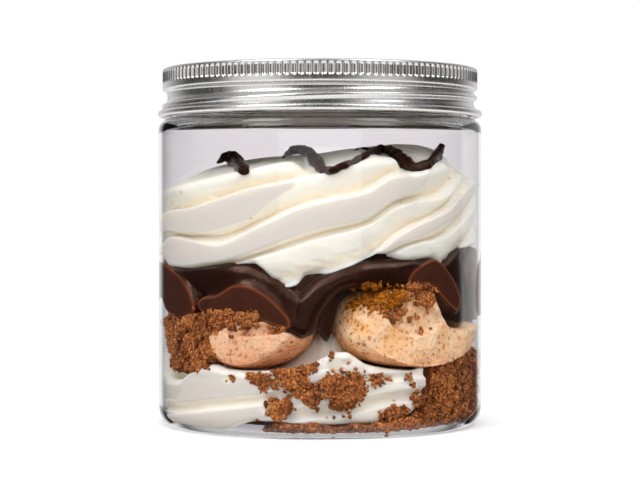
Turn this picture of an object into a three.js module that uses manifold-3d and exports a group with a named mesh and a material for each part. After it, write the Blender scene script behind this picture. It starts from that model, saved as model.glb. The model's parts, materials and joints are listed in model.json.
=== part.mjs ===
// A tiramisu layered in a clear screw-top jar: a crumb bed, piped cream, two sponge fingers side by
// side, a heap of crumbs, chocolate that runs down over the sponges, and a star-piped swirl of cream
// with a chocolate drizzle. Millimetres, +Z up, origin in the middle of the jar's standing face.
// A bearing is an angle in degrees round the jar: 0 at the front (-Y), growing towards the right (+X).
import * as THREE from 'three';
import * as BufferGeometryUtils from 'three/addons/utils/BufferGeometryUtils.js';
import Module from 'manifold-3d';

const wasm = await Module();
wasm.setup();

// ---- Jar -------------------------------------------------------------------------------------
const BODY_RADIUS = 41;
const WALL = 0.9;
const HEEL_RADIUS = 37.7;
const HEEL_HEIGHT = 4.6;
const STANDING_INNER_RADIUS = 34;
const PUSH_UP_RADIUS = 32;
const PUSH_UP = 0.7;
const FLOOR_TOP = 1.6;
const SHOULDER_START = 74.3;
const NECK_RADIUS = 37.6;
const NECK_WALL = 1.0;
const NECK_START = 77.2;
const NECK_TOP = 88.3;
const ROUND_SIDES = 60;

// ---- Lid -------------------------------------------------------------------------------------
const LID_TOP = 89.7;
const LID_INNER_RADIUS = 38;
const LID_CEILING = 88.75;
const CURL_RADIUS = 0.95;
const CURL_RING_RADIUS = 40.15;
const CURL_HEIGHT = 78.3;
const WAIST_RADIUS = 38.9;
const BAND_RADIUS = 39.95;
const BAND_START = 84.7;
const TOP_CORNER = 0.75;
const PANEL_RADIUS = 36.8;
const PANEL_DEPTH = 0.3;
const THREAD_PITCH = 4.8;
const THREAD_HEIGHT_IN_FRONT = 81.2;
const THREAD_BULGE = 1.15;
const THREAD_HALF_WIDTH = 1.0;

// ---- Food ------------------------------------------------------------------------------------
const FOOD_RADIUS = 39.65;
const FOOD_FLOOR = FLOOR_TOP + 0.35;
const CLEARANCE = 0.35;
const LAYER_COLUMNS = 40;

const RIDGE_COUNT = 11;
const RIDGE_COLUMNS = 5;
const RIDGE_STEP = 8;
const RIDGE_RISE = (RIDGE_COUNT * RIDGE_STEP) / 360;
const RIDGE_DEPTHS = [3.4, 0.2, 0, 0.8, 2.1];
const SWIRL_MIDDLE = 52;
const SWIRL_UNDERSIDE = 42.4;
const SWIRL_PEAK = 69.6;
// [bearing, height] of the swirl's lower edge at the wall; it hangs as a lobe just left of the front.
const SWIRL_HEM = [[-180, 43], [-110, 41.5], [-68, 39.2], [-28, 41.2], [-11, 36], [5, 39], [21, 43.8],
  [33, 41.5], [47, 40.3], [65, 44.8], [115, 43]];
const SWIRL_RIM = [[-180, 62.5], [-80, 59], [-25, 63], [15, 65.5], [45, 65], [80, 62.5], [130, 63]];

// [bearing, height] of the chocolate's lower edge: two long drips in front and one at the right.
const CHOCOLATE_HEM = [[-180, 30], [-120, 31], [-88, 27], [-60, 27.5], [-38, 31], [-20, 28], [-6, 24],
  [2, 28], [9, 35], [30, 35], [42, 30], [51, 24.8], [62, 25.2], [76, 28], [100, 30], [140, 28]];
const CHOCOLATE_BASE_HEIGHT = 33.2;
const CHOCOLATE_INSET = 1.5;
// Where chocolate is pressed flat on the wall: bearing, height, half length, half width, tilt.
const CHOCOLATE_PRESSED = [[-68, 33.5, 11, 4.2, -62], [-27, 32.4, 14, 3.4, -14], [40, 34, 9, 3.6, -58],
  [84, 34, 9, 3, -80], [150, 35, 10, 4, -20], [-135, 35, 10, 4, 25]];

const SPONGES = {
  left: { x: -13.7, z: 25.2, halfWidth: 14.2, halfHeight: 9, tilt: 16, front: -38.4, back: 26 },
  right: { x: 19.9, z: 26.3, halfWidth: 18.2, halfHeight: 10, tilt: -4, front: -37.6, back: 22 },
};
const SPONGE_SQUARENESS = 2.4;
const SPONGE_END_SQUARENESS = 4;

// [bearing, height] of the lower cream's top at the wall; it climbs the wall at the far left.
const LOWER_CREAM_TOP = [[-180, 20], [-100, 24], [-72, 25.5], [-60, 16], [-35, 17.2], [-10, 19.5],
  [5, 20], [25, 16.5], [50, 17], [80, 18], [125, 21]];
const LOWER_CREAM_MIDDLE = 21;
const LOWER_CREAM_FOLD = 7.5;
const LOWER_CREAM_RADIUS = FOOD_RADIUS - 0.9;
// [bearing, height] of the crumb bed's top, with its bank against the wall at the right.
const BED_TOP = [[-180, 4.2], [-70, 3], [-26, 2.6], [10, 3.4], [30, 5], [39, 8], [47, 18], [62, 20.4],
  [78, 20], [96, 9], [120, 5]];
const BED_CLEAR_FROM = -74;
const BED_CLEAR_TO = -24;
const BED_MIDDLE = 3.4;
// Blobs that the left heap is made of: bearing, radius to its middle, height, half sizes across, up, in.
const HEAP_BLOBS = [[-63, 33.4, 22.6, 7.5, 5.6, 6], [-47, 34.6, 26.4, 8.5, 3.6, 4.6], [-29, 35.6, 27.6, 8, 2.4, 3.8]];

// Loose crumbs fused to what they lie on: bearing, height, half spread round, half spread up, count.
const CRUMBS_ON_LOWER_CREAM = [[-4, 13.6, 11, 2.6, 8], [5, 11.2, 4.5, 2.2, 5], [-10, 7.6, 4.5, 1.6, 3],
  [22, 12.2, 7, 1.8, 2]];
const CRUMBS_ON_RIGHT_SPONGE = [[14, 32.8, 5.5, 1.6, 7], [25, 30.6, 4, 1.6, 4]];
const CRUMBS_ON_HEAP = [[-62, 22.6, 9, 4.5, 12], [-40, 27.2, 12, 1.8, 7]];
const CRUMBS_ON_BED = [[62, 12, 14, 6, 16], [5, 3.2, 26, 0.5, 6]];
const CRUMB_RADIUS = 1.5;

// Front turns of the drizzle lie DRIZZLE_WAVE apart, one at DRIZZLE_TURN_X.
const DRIZZLE_RADIUS = 1.6;
const DRIZZLE_WAVE = 19.8;
const DRIZZLE_TURN_X = 1.4;
const DRIZZLE_FROM_X = -27;
const DRIZZLE_TO_X = 30;
const DRIZZLE_FRONT_Y = -31;
const DRIZZLE_BACK_Y = -9;

// ---- Helpers ---------------------------------------------------------------------------------
let seed = 20;

// Random numbers from 0 to 1, the same at every run.
function random() {
  seed = (seed * 1664525 + 1013904223) % 4294967296;
  return seed / 4294967296;
}

function at(radius, bearing, height) {
  const angle = THREE.MathUtils.degToRad(bearing);
  return new THREE.Vector3(radius * Math.sin(angle), -radius * Math.cos(angle), height);
}

function evenBearings(count) {
  return Array.from({ length: count }, (_, i) => (360 * i) / count - 180);
}

// The value of a closed outline of [bearing, value] points, eased from each point to the next.
function around(outline, bearing) {
  const turned = THREE.MathUtils.euclideanModulo(bearing + 180, 360) - 180;
  const after = outline.findIndex(([from]) => from > turned);
  const right = after < 0 ? [outline[0][0] + 360, outline[0][1]] : outline[after];
  const left = after < 0 ? outline[outline.length - 1] : outline[after - 1];
  const share = THREE.MathUtils.smoothstep(turned, left[0], right[0]);
  return THREE.MathUtils.lerp(left[1], right[1], share);
}

// A closed skin from a start point through rings of equally many points to an end point. Each
// four-sided patch is split along its shorter diagonal, so that leaning ridges stay smooth.
function skin(start, rings, end) {
  const count = rings[0].length;
  const points = [start, ...rings.flat(), end];
  const faces = [];
  for (let i = 0; i < count; i += 1) {
    const next = (i + 1) % count;
    faces.push(0, 1 + next, 1 + i);
    for (let ring = 0; ring + 1 < rings.length; ring += 1) {
      const low = 1 + ring * count;
      const high = low + count;
      const rising = points[low + i].distanceTo(points[high + next]);
      const falling = points[low + next].distanceTo(points[high + i]);
      if (rising <= falling) {
        faces.push(low + i, low + next, high + next, low + i, high + next, high + i);
      } else {
        faces.push(low + i, low + next, high + i, low + next, high + next, high + i);
      }
    }
    const rim = 1 + (rings.length - 1) * count;
    faces.push(points.length - 1, rim + i, rim + next);
  }
  const geometry = new THREE.BufferGeometry().setFromPoints(points);
  geometry.setIndex(faces);
  return geometry;
}

function toSolid(geometry) {
  const bare = geometry.clone();
  bare.deleteAttribute('normal');
  bare.deleteAttribute('uv');
  const merged = BufferGeometryUtils.mergeVertices(bare, 1e-5);
  return new wasm.Manifold(new wasm.Mesh({
    numProp: 3,
    vertProperties: new Float32Array(merged.attributes.position.array),
    triVerts: new Uint32Array(merged.index.array),
  }));
}

function toGeometry(solid) {
  const mesh = solid.getMesh();
  const geometry = new THREE.BufferGeometry();
  geometry.setAttribute('position', new THREE.BufferAttribute(mesh.vertProperties, 3));
  geometry.setIndex(new THREE.BufferAttribute(mesh.triVerts, 1));
  return geometry;
}

// The largest piece of a solid, so that no loose scrap of a cut is kept.
function largestPiece(solid) {
  return solid.decompose().reduce((best, piece) => (piece.volume() > best.volume() ? piece : best));
}

function cutBy(solid, others) {
  return largestPiece(others.reduce((left, other) => left.subtract(other), solid));
}

function namedMesh(name, geometry, colour, roughness, metalness = 0, opacity = 1) {
  const material = new THREE.MeshStandardMaterial({ color: colour, roughness, metalness });
  material.opacity = opacity;
  material.transparent = opacity < 1;
  const mesh = new THREE.Mesh(geometry, material);
  mesh.name = name;
  return mesh;
}

// ---- Jar and lid -----------------------------------------------------------------------------
function arc(middleRadius, middleHeight, radius, fromDegrees, toDegrees, steps) {
  return Array.from({ length: steps + 1 }, (_, i) => {
    const angle = THREE.MathUtils.degToRad(fromDegrees + ((toDegrees - fromDegrees) * i) / steps);
    return new THREE.Vector2(middleRadius + radius * Math.cos(angle), middleHeight + radius * Math.sin(angle));
  });
}

// Quarter of an ellipse from a point to a point, leaving the first one level or upright.
function easedCorner(from, to, startsLevel, steps) {
  return Array.from({ length: steps + 1 }, (_, i) => {
    const angle = (Math.PI / 2) * (i / steps);
    const outward = startsLevel ? Math.sin(angle) : 1 - Math.cos(angle);
    const upward = startsLevel ? 1 - Math.cos(angle) : Math.sin(angle);
    return new THREE.Vector2(
      THREE.MathUtils.lerp(from[0], to[0], outward),
      THREE.MathUtils.lerp(from[1], to[1], upward),
    );
  });
}

function jarGeometry() {
  const inside = BODY_RADIUS - WALL;
  const shoulderInset = BODY_RADIUS - NECK_RADIUS;
  const profile = [
    new THREE.Vector2(0, PUSH_UP),
    new THREE.Vector2(PUSH_UP_RADIUS, PUSH_UP),
    new THREE.Vector2(STANDING_INNER_RADIUS, 0),
    ...easedCorner([HEEL_RADIUS, 0], [BODY_RADIUS, HEEL_HEIGHT], true, 4),
    ...easedCorner([BODY_RADIUS, SHOULDER_START], [BODY_RADIUS - shoulderInset, NECK_START], false, 4),
    new THREE.Vector2(NECK_RADIUS, NECK_TOP),
    new THREE.Vector2(NECK_RADIUS - NECK_WALL, NECK_TOP),
    new THREE.Vector2(NECK_RADIUS - NECK_WALL, NECK_START - WALL),
    new THREE.Vector2(inside, SHOULDER_START - WALL),
    new THREE.Vector2(inside, HEEL_HEIGHT),
    new THREE.Vector2(HEEL_RADIUS, FLOOR_TOP),
    new THREE.Vector2(0, FLOOR_TOP),
  ];
  return new THREE.LatheGeometry(profile, ROUND_SIDES).rotateX(Math.PI / 2);
}

// Outer radius of the lid's skirt, with the thread's bead climbing once round from left to right.
function skirtRadius(bearing, height) {
  const lower = THREE.MathUtils.smoothstep(height, CURL_HEIGHT + CURL_RADIUS, CURL_HEIGHT + 3);
  const upper = THREE.MathUtils.smoothstep(height, BAND_START - 1.2, BAND_START);
  const plain = THREE.MathUtils.lerp(THREE.MathUtils.lerp(39.6, WAIST_RADIUS, lower), BAND_RADIUS, upper);
  const crest = THREAD_HEIGHT_IN_FRONT + (THREAD_PITCH * bearing) / 360;
  const bead = [-THREAD_PITCH, 0, THREAD_PITCH]
    .map((turn) => THREAD_BULGE * Math.exp(-(((height - crest - turn) / THREAD_HALF_WIDTH) ** 2)))
    .reduce((sum, bulge) => sum + bulge);
  const fading = 1 - Math.max(upper, 1 - THREE.MathUtils.smoothstep(height, 79, 79.8));
  return Math.min(plain + bead * fading, BAND_RADIUS + 0.15);
}

function lidGeometry() {
  const bearings = evenBearings(ROUND_SIDES);
  const ringOf = (radiusAt, height) => bearings.map((bearing) => at(radiusAt(bearing), bearing, height));
  const plainRing = ({ x, y }) => ringOf(() => x, y);
  const curl = arc(CURL_RING_RADIUS, CURL_HEIGHT, CURL_RADIUS, -150, 110, 5);
  const skirtHeights = Array.from({ length: 8 }, (_, i) => 79.5 + (i * (BAND_START - 79.5)) / 7);
  const corner = arc(BAND_RADIUS - TOP_CORNER, LID_TOP - TOP_CORNER, TOP_CORNER, 0, 90, 2);
  const rings = [
    plainRing(new THREE.Vector2(LID_INNER_RADIUS, LID_CEILING)),
    plainRing(new THREE.Vector2(LID_INNER_RADIUS, CURL_HEIGHT)),
    ...curl.map(plainRing),
    ...skirtHeights.map((height) => ringOf((bearing) => skirtRadius(bearing, height), height)),
    ...corner.map(plainRing),
    plainRing(new THREE.Vector2(PANEL_RADIUS + 1, LID_TOP)),
    plainRing(new THREE.Vector2(PANEL_RADIUS, LID_TOP - PANEL_DEPTH)),
  ];
  return skin(at(0, 0, LID_CEILING), rings, at(0, 0, LID_TOP - PANEL_DEPTH));
}

// ---- Food ------------------------------------------------------------------------------------
// Everything inside the jar's wall and above its floor and rounded heel, to cut the food by.
function insideWall() {
  const profile = [
    new THREE.Vector2(0, FOOD_FLOOR),
    new THREE.Vector2(HEEL_RADIUS - 0.5, FOOD_FLOOR),
    new THREE.Vector2(FOOD_RADIUS + 0.1, HEEL_HEIGHT + 0.5),
    new THREE.Vector2(FOOD_RADIUS + 0.1, LID_TOP),
    new THREE.Vector2(0, LID_TOP),
  ];
  return toSolid(new THREE.LatheGeometry(profile, ROUND_SIDES).rotateX(Math.PI / 2));
}

// Bearings of the swirl's columns at a height: each column keeps to one ridge as it climbs.
function swirlBearings(height) {
  const columns = RIDGE_COUNT * RIDGE_COLUMNS;
  return Array.from({ length: columns }, (_, i) => (360 * i) / columns + (height - SWIRL_MIDDLE) / RIDGE_RISE);
}

// The swirl's underside, from its hem at the wall inwards, which the chocolate's top follows.
function swirlUndersideRings(lowered) {
  const hem = swirlBearings(SWIRL_UNDERSIDE).map((bearing) => at(37.6, bearing, around(SWIRL_HEM, bearing) - lowered));
  const inner = [31, 16].map((radius) => (
    swirlBearings(SWIRL_UNDERSIDE).map((bearing) => at(radius, bearing, SWIRL_UNDERSIDE - lowered))
  ));
  return [hem, ...inner];
}

// Height of the swirl's mound at a distance from the middle, before its ridges.
function moundHeight(radius, bearing) {
  const outward = Math.min(radius / FOOD_RADIUS, 1);
  return THREE.MathUtils.lerp(SWIRL_PEAK, around(SWIRL_RIM, bearing), outward ** 2.2);
}

function swirlForm() {
  const sideHeights = [43.5, 46.5, 49.5, 52.5, 55.5, 58.5, 61.5];
  const lowest = sideHeights[0];
  const highest = sideHeights[sideHeights.length - 1];
  const side = sideHeights.map((height) => swirlBearings(height).map((bearing, i) => {
    const share = (height - lowest) / (highest - lowest);
    const hem = around(SWIRL_HEM, bearing) + 1.6;
    const rim = around(SWIRL_RIM, bearing);
    return at(FOOD_RADIUS - RIDGE_DEPTHS[i % RIDGE_COLUMNS], bearing, THREE.MathUtils.lerp(hem, rim, share));
  }));
  const mound = [35, 27, 17, 8].map((radius) => swirlBearings(highest + (40 - radius) / 4).map((bearing, i) => {
    const dip = (RIDGE_DEPTHS[i % RIDGE_COLUMNS] * radius) / 45;
    return at(radius, bearing, moundHeight(radius, bearing) - dip);
  }));
  const underside = swirlUndersideRings(0).reverse();
  return skin(at(0, 0, SWIRL_UNDERSIDE), [...underside, ...side, ...mound], at(0, 0, SWIRL_PEAK));
}

function drizzleForm() {
  const points = [];
  for (let x = DRIZZLE_FROM_X; x <= DRIZZLE_TO_X; x += 2.5) {
    const swing = 0.5 + 0.5 * Math.cos((2 * Math.PI * (x - DRIZZLE_TURN_X)) / DRIZZLE_WAVE);
    const wallY = -Math.sqrt((FOOD_RADIUS - 2.5) ** 2 - x * x);
    const y = Math.max(wallY, THREE.MathUtils.lerp(DRIZZLE_BACK_Y, DRIZZLE_FRONT_Y, swing));
    const bearing = THREE.MathUtils.radToDeg(Math.atan2(x, -y));
    points.push(new THREE.Vector3(x, y, moundHeight(Math.hypot(x, y), bearing) + 0.2));
  }
  const section = new THREE.Shape(Array.from({ length: 5 }, (_, i) => (
    new THREE.Vector2(DRIZZLE_RADIUS, 0).rotateAround(new THREE.Vector2(), (i * 2 * Math.PI) / 5)
  )));
  return new THREE.ExtrudeGeometry(section, { steps: 40, extrudePath: new THREE.CatmullRomCurve3(points) });
}

// How far chocolate is pressed out at a place on the wall, from 0 to 1.
function pressed(bearing, height) {
  const shares = CHOCOLATE_PRESSED.map(([middle, level, halfLength, halfWidth, tilt]) => {
    const turned = THREE.MathUtils.euclideanModulo(bearing - middle + 180, 360) - 180;
    const across = THREE.MathUtils.degToRad(turned) * FOOD_RADIUS;
    const angle = THREE.MathUtils.degToRad(tilt);
    const along = across * Math.cos(angle) + (height - level) * Math.sin(angle);
    const aside = (height - level) * Math.cos(angle) - across * Math.sin(angle);
    return 1 - THREE.MathUtils.smoothstep(Math.hypot(along / halfLength, aside / halfWidth), 0.9, 1.35);
  });
  return Math.max(...shares);
}

function chocolateForm(grow) {
  const bearings = swirlBearings(SWIRL_UNDERSIDE);
  const ring = (radius, heightAt) => bearings.map((bearing) => at(radius, bearing, heightAt(bearing)));
  const base = () => CHOCOLATE_BASE_HEIGHT - grow;
  const hem = (bearing) => around(CHOCOLATE_HEM, bearing) - grow;
  const side = [0.08, 0.3, 0.55, 0.8].map((share) => bearings.map((bearing) => {
    const height = THREE.MathUtils.lerp(hem(bearing), around(SWIRL_HEM, bearing) - CLEARANCE, share);
    const inset = CHOCOLATE_INSET * (1 - pressed(bearing, height));
    return at(FOOD_RADIUS - inset + grow, bearing, height);
  }));
  const top = swirlUndersideRings(1.3 * CLEARANCE - grow);
  const rings = [ring(14, base), ring(30, base), ring(36.4, hem), ...side, ...top];
  return skin(at(0, 0, base()), rings, at(0, 0, SWIRL_UNDERSIDE - 1.3 * CLEARANCE + grow));
}

// A sponge finger lying front to back: rounded in section and at its ends.
function spongeForm({ x, z, halfWidth, halfHeight, tilt, front, back }, grow) {
  const sides = 20;
  const ends = 6;
  const middle = (front + back) / 2;
  const halfLength = (back - front) / 2;
  const round = (value) => Math.sign(value) * Math.abs(value) ** (2 / SPONGE_SQUARENESS);
  const angle = THREE.MathUtils.degToRad(tilt);
  const place = (across, along, up) => new THREE.Vector3(
    x + across * Math.cos(angle) - up * Math.sin(angle),
    middle + along,
    z + across * Math.sin(angle) + up * Math.cos(angle),
  );
  const rings = Array.from({ length: 2 * ends - 1 }, (_, i) => {
    const lengthwise = -Math.PI / 2 + (Math.PI * (i + 1)) / (2 * ends);
    const swell = Math.cos(lengthwise) ** (2 / SPONGE_END_SQUARENESS);
    const along = round(Math.sin(lengthwise)) * (halfLength + grow);
    return Array.from({ length: sides }, (_, k) => {
      const turn = (-2 * Math.PI * k) / sides;
      const across = round(Math.cos(turn)) * (halfWidth + grow) * swell;
      return place(across, along, round(Math.sin(turn)) * (halfHeight + grow) * swell);
    });
  });
  return skin(place(0, -halfLength - grow, 0), rings, place(0, halfLength + grow, 0));
}

function lowerCreamForm() {
  const bearings = evenBearings(LAYER_COLUMNS);
  const level = (radius, heightAt) => bearings.map((bearing) => at(radius, bearing, heightAt(bearing)));
  const top = (bearing) => around(LOWER_CREAM_TOP, bearing);
  const foldAt = (bearing) => LOWER_CREAM_FOLD + 1.2 * Math.sin(THREE.MathUtils.degToRad(2 * bearing));
  const floor = () => FOOD_FLOOR;
  const rings = [
    level(20, floor),
    level(37, floor),
    level(LOWER_CREAM_RADIUS - 0.6, () => FOOD_FLOOR + 1.6),
    level(LOWER_CREAM_RADIUS, (bearing) => foldAt(bearing) - 2.2),
    level(LOWER_CREAM_RADIUS - 1.4, foldAt),
    level(LOWER_CREAM_RADIUS, (bearing) => foldAt(bearing) + 2),
    level(LOWER_CREAM_RADIUS, (bearing) => top(bearing) - 2.2),
    level(LOWER_CREAM_RADIUS - 1.4, top),
    level(33, (bearing) => (top(bearing) + LOWER_CREAM_MIDDLE) / 2 + 0.8),
    level(20, () => LOWER_CREAM_MIDDLE),
  ];
  return skin(at(0, 0, FOOD_FLOOR), rings, at(0, 0, LOWER_CREAM_MIDDLE));
}

// The crumb bed: it shows all round but where the cream reaches the floor, and banks up at the right.
function crumbBedForm(grow) {
  const bearings = evenBearings(LAYER_COLUMNS);
  const edge = (bearing) => {
    const turned = THREE.MathUtils.euclideanModulo(bearing + 180, 360) - 180;
    const into = THREE.MathUtils.smoothstep(turned, BED_CLEAR_FROM - 14, BED_CLEAR_FROM);
    const outOf = 1 - THREE.MathUtils.smoothstep(turned, BED_CLEAR_TO, BED_CLEAR_TO + 14);
    return FOOD_RADIUS - 7 * Math.min(into, outOf);
  };
  const ring = (radiusAt, heightAt) => bearings.map((bearing) => at(radiusAt(bearing), bearing, heightAt(bearing)));
  const floor = FOOD_FLOOR - grow;
  const top = (bearing) => around(BED_TOP, bearing);
  const slope = (bearing) => THREE.MathUtils.lerp(top(bearing), BED_MIDDLE, 0.7);
  const rings = [
    ring(() => 20, () => floor),
    ring((bearing) => Math.min(edge(bearing), HEEL_RADIUS) + grow, () => floor),
    ring((bearing) => edge(bearing) + grow, (bearing) => Math.min(3.6, top(bearing) - 0.3)),
    ring((bearing) => edge(bearing) + grow, (bearing) => top(bearing) - 0.2 + grow),
    ring((bearing) => edge(bearing) - 3.2 - grow, (bearing) => top(bearing) + grow),
    ring((bearing) => edge(bearing) - 9 - grow, (bearing) => slope(bearing) + grow),
    ring(() => 18, () => BED_MIDDLE + grow),
  ];
  return skin(at(0, 0, floor), rings, at(0, 0, BED_MIDDLE + grow));
}

function heapForm(grow) {
  return HEAP_BLOBS
    .map(([bearing, radius, height, across, up, inwards]) => {
      const blob = new THREE.IcosahedronGeometry(1, 1).scale(across + grow, inwards + grow, up + grow);
      const place = at(radius, bearing, height);
      return toSolid(blob.rotateZ(THREE.MathUtils.degToRad(bearing)).translate(place.x, place.y, place.z));
    })
    .reduce((heap, blob) => heap.add(blob));
}

// Crumbs spread over their patches at the wall, as one solid.
function crumbs(patches) {
  const grains = patches.flatMap(([bearing, height, halfRound, halfUp, count]) => (
    Array.from({ length: count }, () => {
      const size = CRUMB_RADIUS * (0.6 + 0.5 * random());
      const place = at(
        FOOD_RADIUS - size + 0.2,
        bearing + halfRound * (2 * random() - 1),
        height + halfUp * (2 * random() - 1),
      );
      const grain = new THREE.IcosahedronGeometry(size, 0).scale(1, 1, 0.8 + 0.3 * random());
      return toSolid(grain.rotateZ(6 * random()).translate(place.x, place.y, place.z));
    })
  ));
  return grains.reduce((heap, grain) => heap.add(grain));
}

// ---- The whole -------------------------------------------------------------------------------
const inside = insideWall();
const swirl = largestPiece(toSolid(swirlForm()).add(toSolid(drizzleForm())));
const sponges = Object.values(SPONGES).map((sponge) => toSolid(spongeForm(sponge, CLEARANCE)));
const chocolateSpace = toSolid(chocolateForm(CLEARANCE));
const swirlSpace = swirl.translate([0, 0, -CLEARANCE]);
const chocolate = cutBy(toSolid(chocolateForm(0)).intersect(inside), [...sponges, swirlSpace]);
const leftSponge = toSolid(spongeForm(SPONGES.left, 0)).intersect(inside);
const spongeCrumbs = crumbs(CRUMBS_ON_RIGHT_SPONGE).subtract(chocolateSpace);
const rightSponge = largestPiece(toSolid(spongeForm(SPONGES.right, 0)).add(spongeCrumbs).intersect(inside));

// The heap and the bed keep to a space of their own, so that their crumbs stay clear of the cream.
const heapLimit = heapForm(CRUMB_RADIUS).intersect(inside);
const heapSpace = heapForm(CRUMB_RADIUS + CLEARANCE);
const heap = cutBy(heapForm(0).add(crumbs(CRUMBS_ON_HEAP)).intersect(heapLimit), [...sponges, chocolateSpace]);
const bedLimit = toSolid(crumbBedForm(CRUMB_RADIUS)).intersect(inside);
const bedSpace = toSolid(crumbBedForm(CRUMB_RADIUS + CLEARANCE));
const bed = cutBy(toSolid(crumbBedForm(0)).add(crumbs(CRUMBS_ON_BED)).intersect(bedLimit), [...sponges, heapSpace]);
const creamWithCrumbs = toSolid(lowerCreamForm()).add(crumbs(CRUMBS_ON_LOWER_CREAM)).intersect(inside);
const lowerCream = cutBy(creamWithCrumbs, [...sponges, chocolateSpace, heapSpace, bedSpace]);

const tiramisu = new THREE.Group();
tiramisu.add(namedMesh('jar', jarGeometry(), 0xe4e0e6, 0.05, 0, 0.25));
tiramisu.add(namedMesh('lid', lidGeometry(), 0xb9b7b5, 0.35, 1));
tiramisu.add(namedMesh('crumb_bed', toGeometry(bed), 0x96502d, 0.9));
tiramisu.add(namedMesh('lower_cream', toGeometry(lowerCream), 0xe8e2de, 0.5));
tiramisu.add(namedMesh('sponge_left', toGeometry(leftSponge), 0xe1aa7d, 0.9));
tiramisu.add(namedMesh('sponge_right', toGeometry(rightSponge), 0xeec89b, 0.9));
tiramisu.add(namedMesh('crumb_heap', toGeometry(heap), 0x96502d, 0.9));
tiramisu.add(namedMesh('chocolate', toGeometry(chocolate), 0x23110c, 0.3));
tiramisu.add(namedMesh('upper_cream', toGeometry(swirl), 0xe6ddd2, 0.5));

export default tiramisu;
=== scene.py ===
"""A tiramisu layered in a clear screw-top jar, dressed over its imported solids.

Heights and radii are millimetres from the middle of the jar's standing face. A bearing is an angle in
degrees round the jar: 0 at the front (-Y), growing towards the right (+X). Meshes are made in metres.
"""

import json
import math

import bmesh
import bpy
import numpy as np
from bpy.props import FloatProperty, FloatVectorProperty, IntProperty, PointerProperty
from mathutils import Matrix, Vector
from mathutils.bvhtree import BVHTree

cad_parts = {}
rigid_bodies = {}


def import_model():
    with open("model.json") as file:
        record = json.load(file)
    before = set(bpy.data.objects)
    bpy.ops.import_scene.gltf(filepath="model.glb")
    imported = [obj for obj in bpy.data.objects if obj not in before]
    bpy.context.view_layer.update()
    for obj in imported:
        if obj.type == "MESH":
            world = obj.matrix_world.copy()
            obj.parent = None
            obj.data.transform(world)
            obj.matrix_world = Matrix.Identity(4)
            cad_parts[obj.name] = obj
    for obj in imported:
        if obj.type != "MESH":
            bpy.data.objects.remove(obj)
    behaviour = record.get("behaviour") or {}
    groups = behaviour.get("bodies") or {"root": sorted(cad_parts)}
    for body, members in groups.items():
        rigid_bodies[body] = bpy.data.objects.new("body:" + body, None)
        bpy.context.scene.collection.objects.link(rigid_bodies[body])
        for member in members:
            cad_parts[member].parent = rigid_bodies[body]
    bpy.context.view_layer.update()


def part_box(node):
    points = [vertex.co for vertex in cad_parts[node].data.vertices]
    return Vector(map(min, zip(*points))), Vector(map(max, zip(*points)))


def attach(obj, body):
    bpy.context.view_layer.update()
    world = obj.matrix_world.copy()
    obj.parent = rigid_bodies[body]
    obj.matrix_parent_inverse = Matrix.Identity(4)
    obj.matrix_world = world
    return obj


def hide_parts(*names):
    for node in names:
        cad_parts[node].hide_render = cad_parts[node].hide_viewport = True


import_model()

bl_info = {
    "name": "Tiramisu in a jar",
    "version": (1, 0, 0),
    "blender": (4, 5, 0),
    "location": "View3D > Sidebar > Tiramisu",
    "description": "Builds the looks of a tiramisu in a clear screw-top jar",
    "category": "Object",
}

MM = 0.001
BODY = "root"

# ---- The view --------------------------------------------------------------------------------
CAMERA_PLACE = (0.0, -492.0, 54.2)
CAMERA_PITCH = 0.0205
FOCAL_PIXELS = 1930.0
FRAME_WIDTH, FRAME_HEIGHT = 640, 498

# ---- The jar ---------------------------------------------------------------------------------
BODY_RADIUS = 41.0
WALL = 0.9
INNER_RADIUS = BODY_RADIUS - WALL
INTO_WALL = 0.06  # how far pressed food reaches into the clear wall, so that no air gap shows
PRESSED_RADIUS = INNER_RADIUS + INTO_WALL
HEEL_RADIUS = 37.7
HEEL_HEIGHT = 4.6
HEEL_INNER_RADIUS = 37.1
HEEL_INNER_HEIGHT = 5.0
FLOOR_TOP = 1.0
PUSH_UP = 0.35
PUSH_UP_RADIUS = 33
STANDING_RADIUS = 35.6
SHOULDER_START = 74.3
NECK_RADIUS = 37.6
NECK_INNER_RADIUS = 36.6
NECK_START = 77.2
NECK_TOP = 88.3
BEND_SUPPORT = 0.15  # distance of the rings that keep the shading of a bend off the straight wall
NECK_BEND_SUPPORT = 0.06
BEND_STEPS = 12
MIDDLE_RING = 8  # radius of the innermost ring of the floor, above and below
JAR_SIDES = 192

# ---- The lid ---------------------------------------------------------------------------------
LID_TOP = (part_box("lid")[1] / MM).z
LID_INNER_RADIUS = 38.0
LID_MIDDLE_RING = 9
LID_CEILING = 88.75
CURL_RADIUS = 0.95
CURL_RING_RADIUS = 40.15
CURL_HEIGHT = 78.3
SKIRT_START = 79.3
SKIRT_FOOT_RADIUS = 39.6
WAIST_RADIUS = 38.75
BAND_RADIUS = 39.95
BAND_START = 84.7
TOP_CORNER = 0.68
PANEL_RADIUS = 36.8
PANEL_DEPTH = 0.3
THREAD_PITCH = 4.8
THREAD_HEIGHT_IN_FRONT = 81.2
THREAD_BULGE = 1.2
THREAD_HALF_WIDTH = 0.95
KNURL_LOW, KNURL_HIGH = 85.75, 89.0
KNURL_COLUMNS = 8
KNURL_SLOT = 0.42  # half width of a slot, as a share of the knurls' pitch

# ---- The upper cream -------------------------------------------------------------------------
RIDGE_COUNT = 11
RIDGE_STEP = 8.0
RIDGE_RISE = RIDGE_COUNT * RIDGE_STEP / 360
RIDGE_MIDDLE = 55.5
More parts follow.
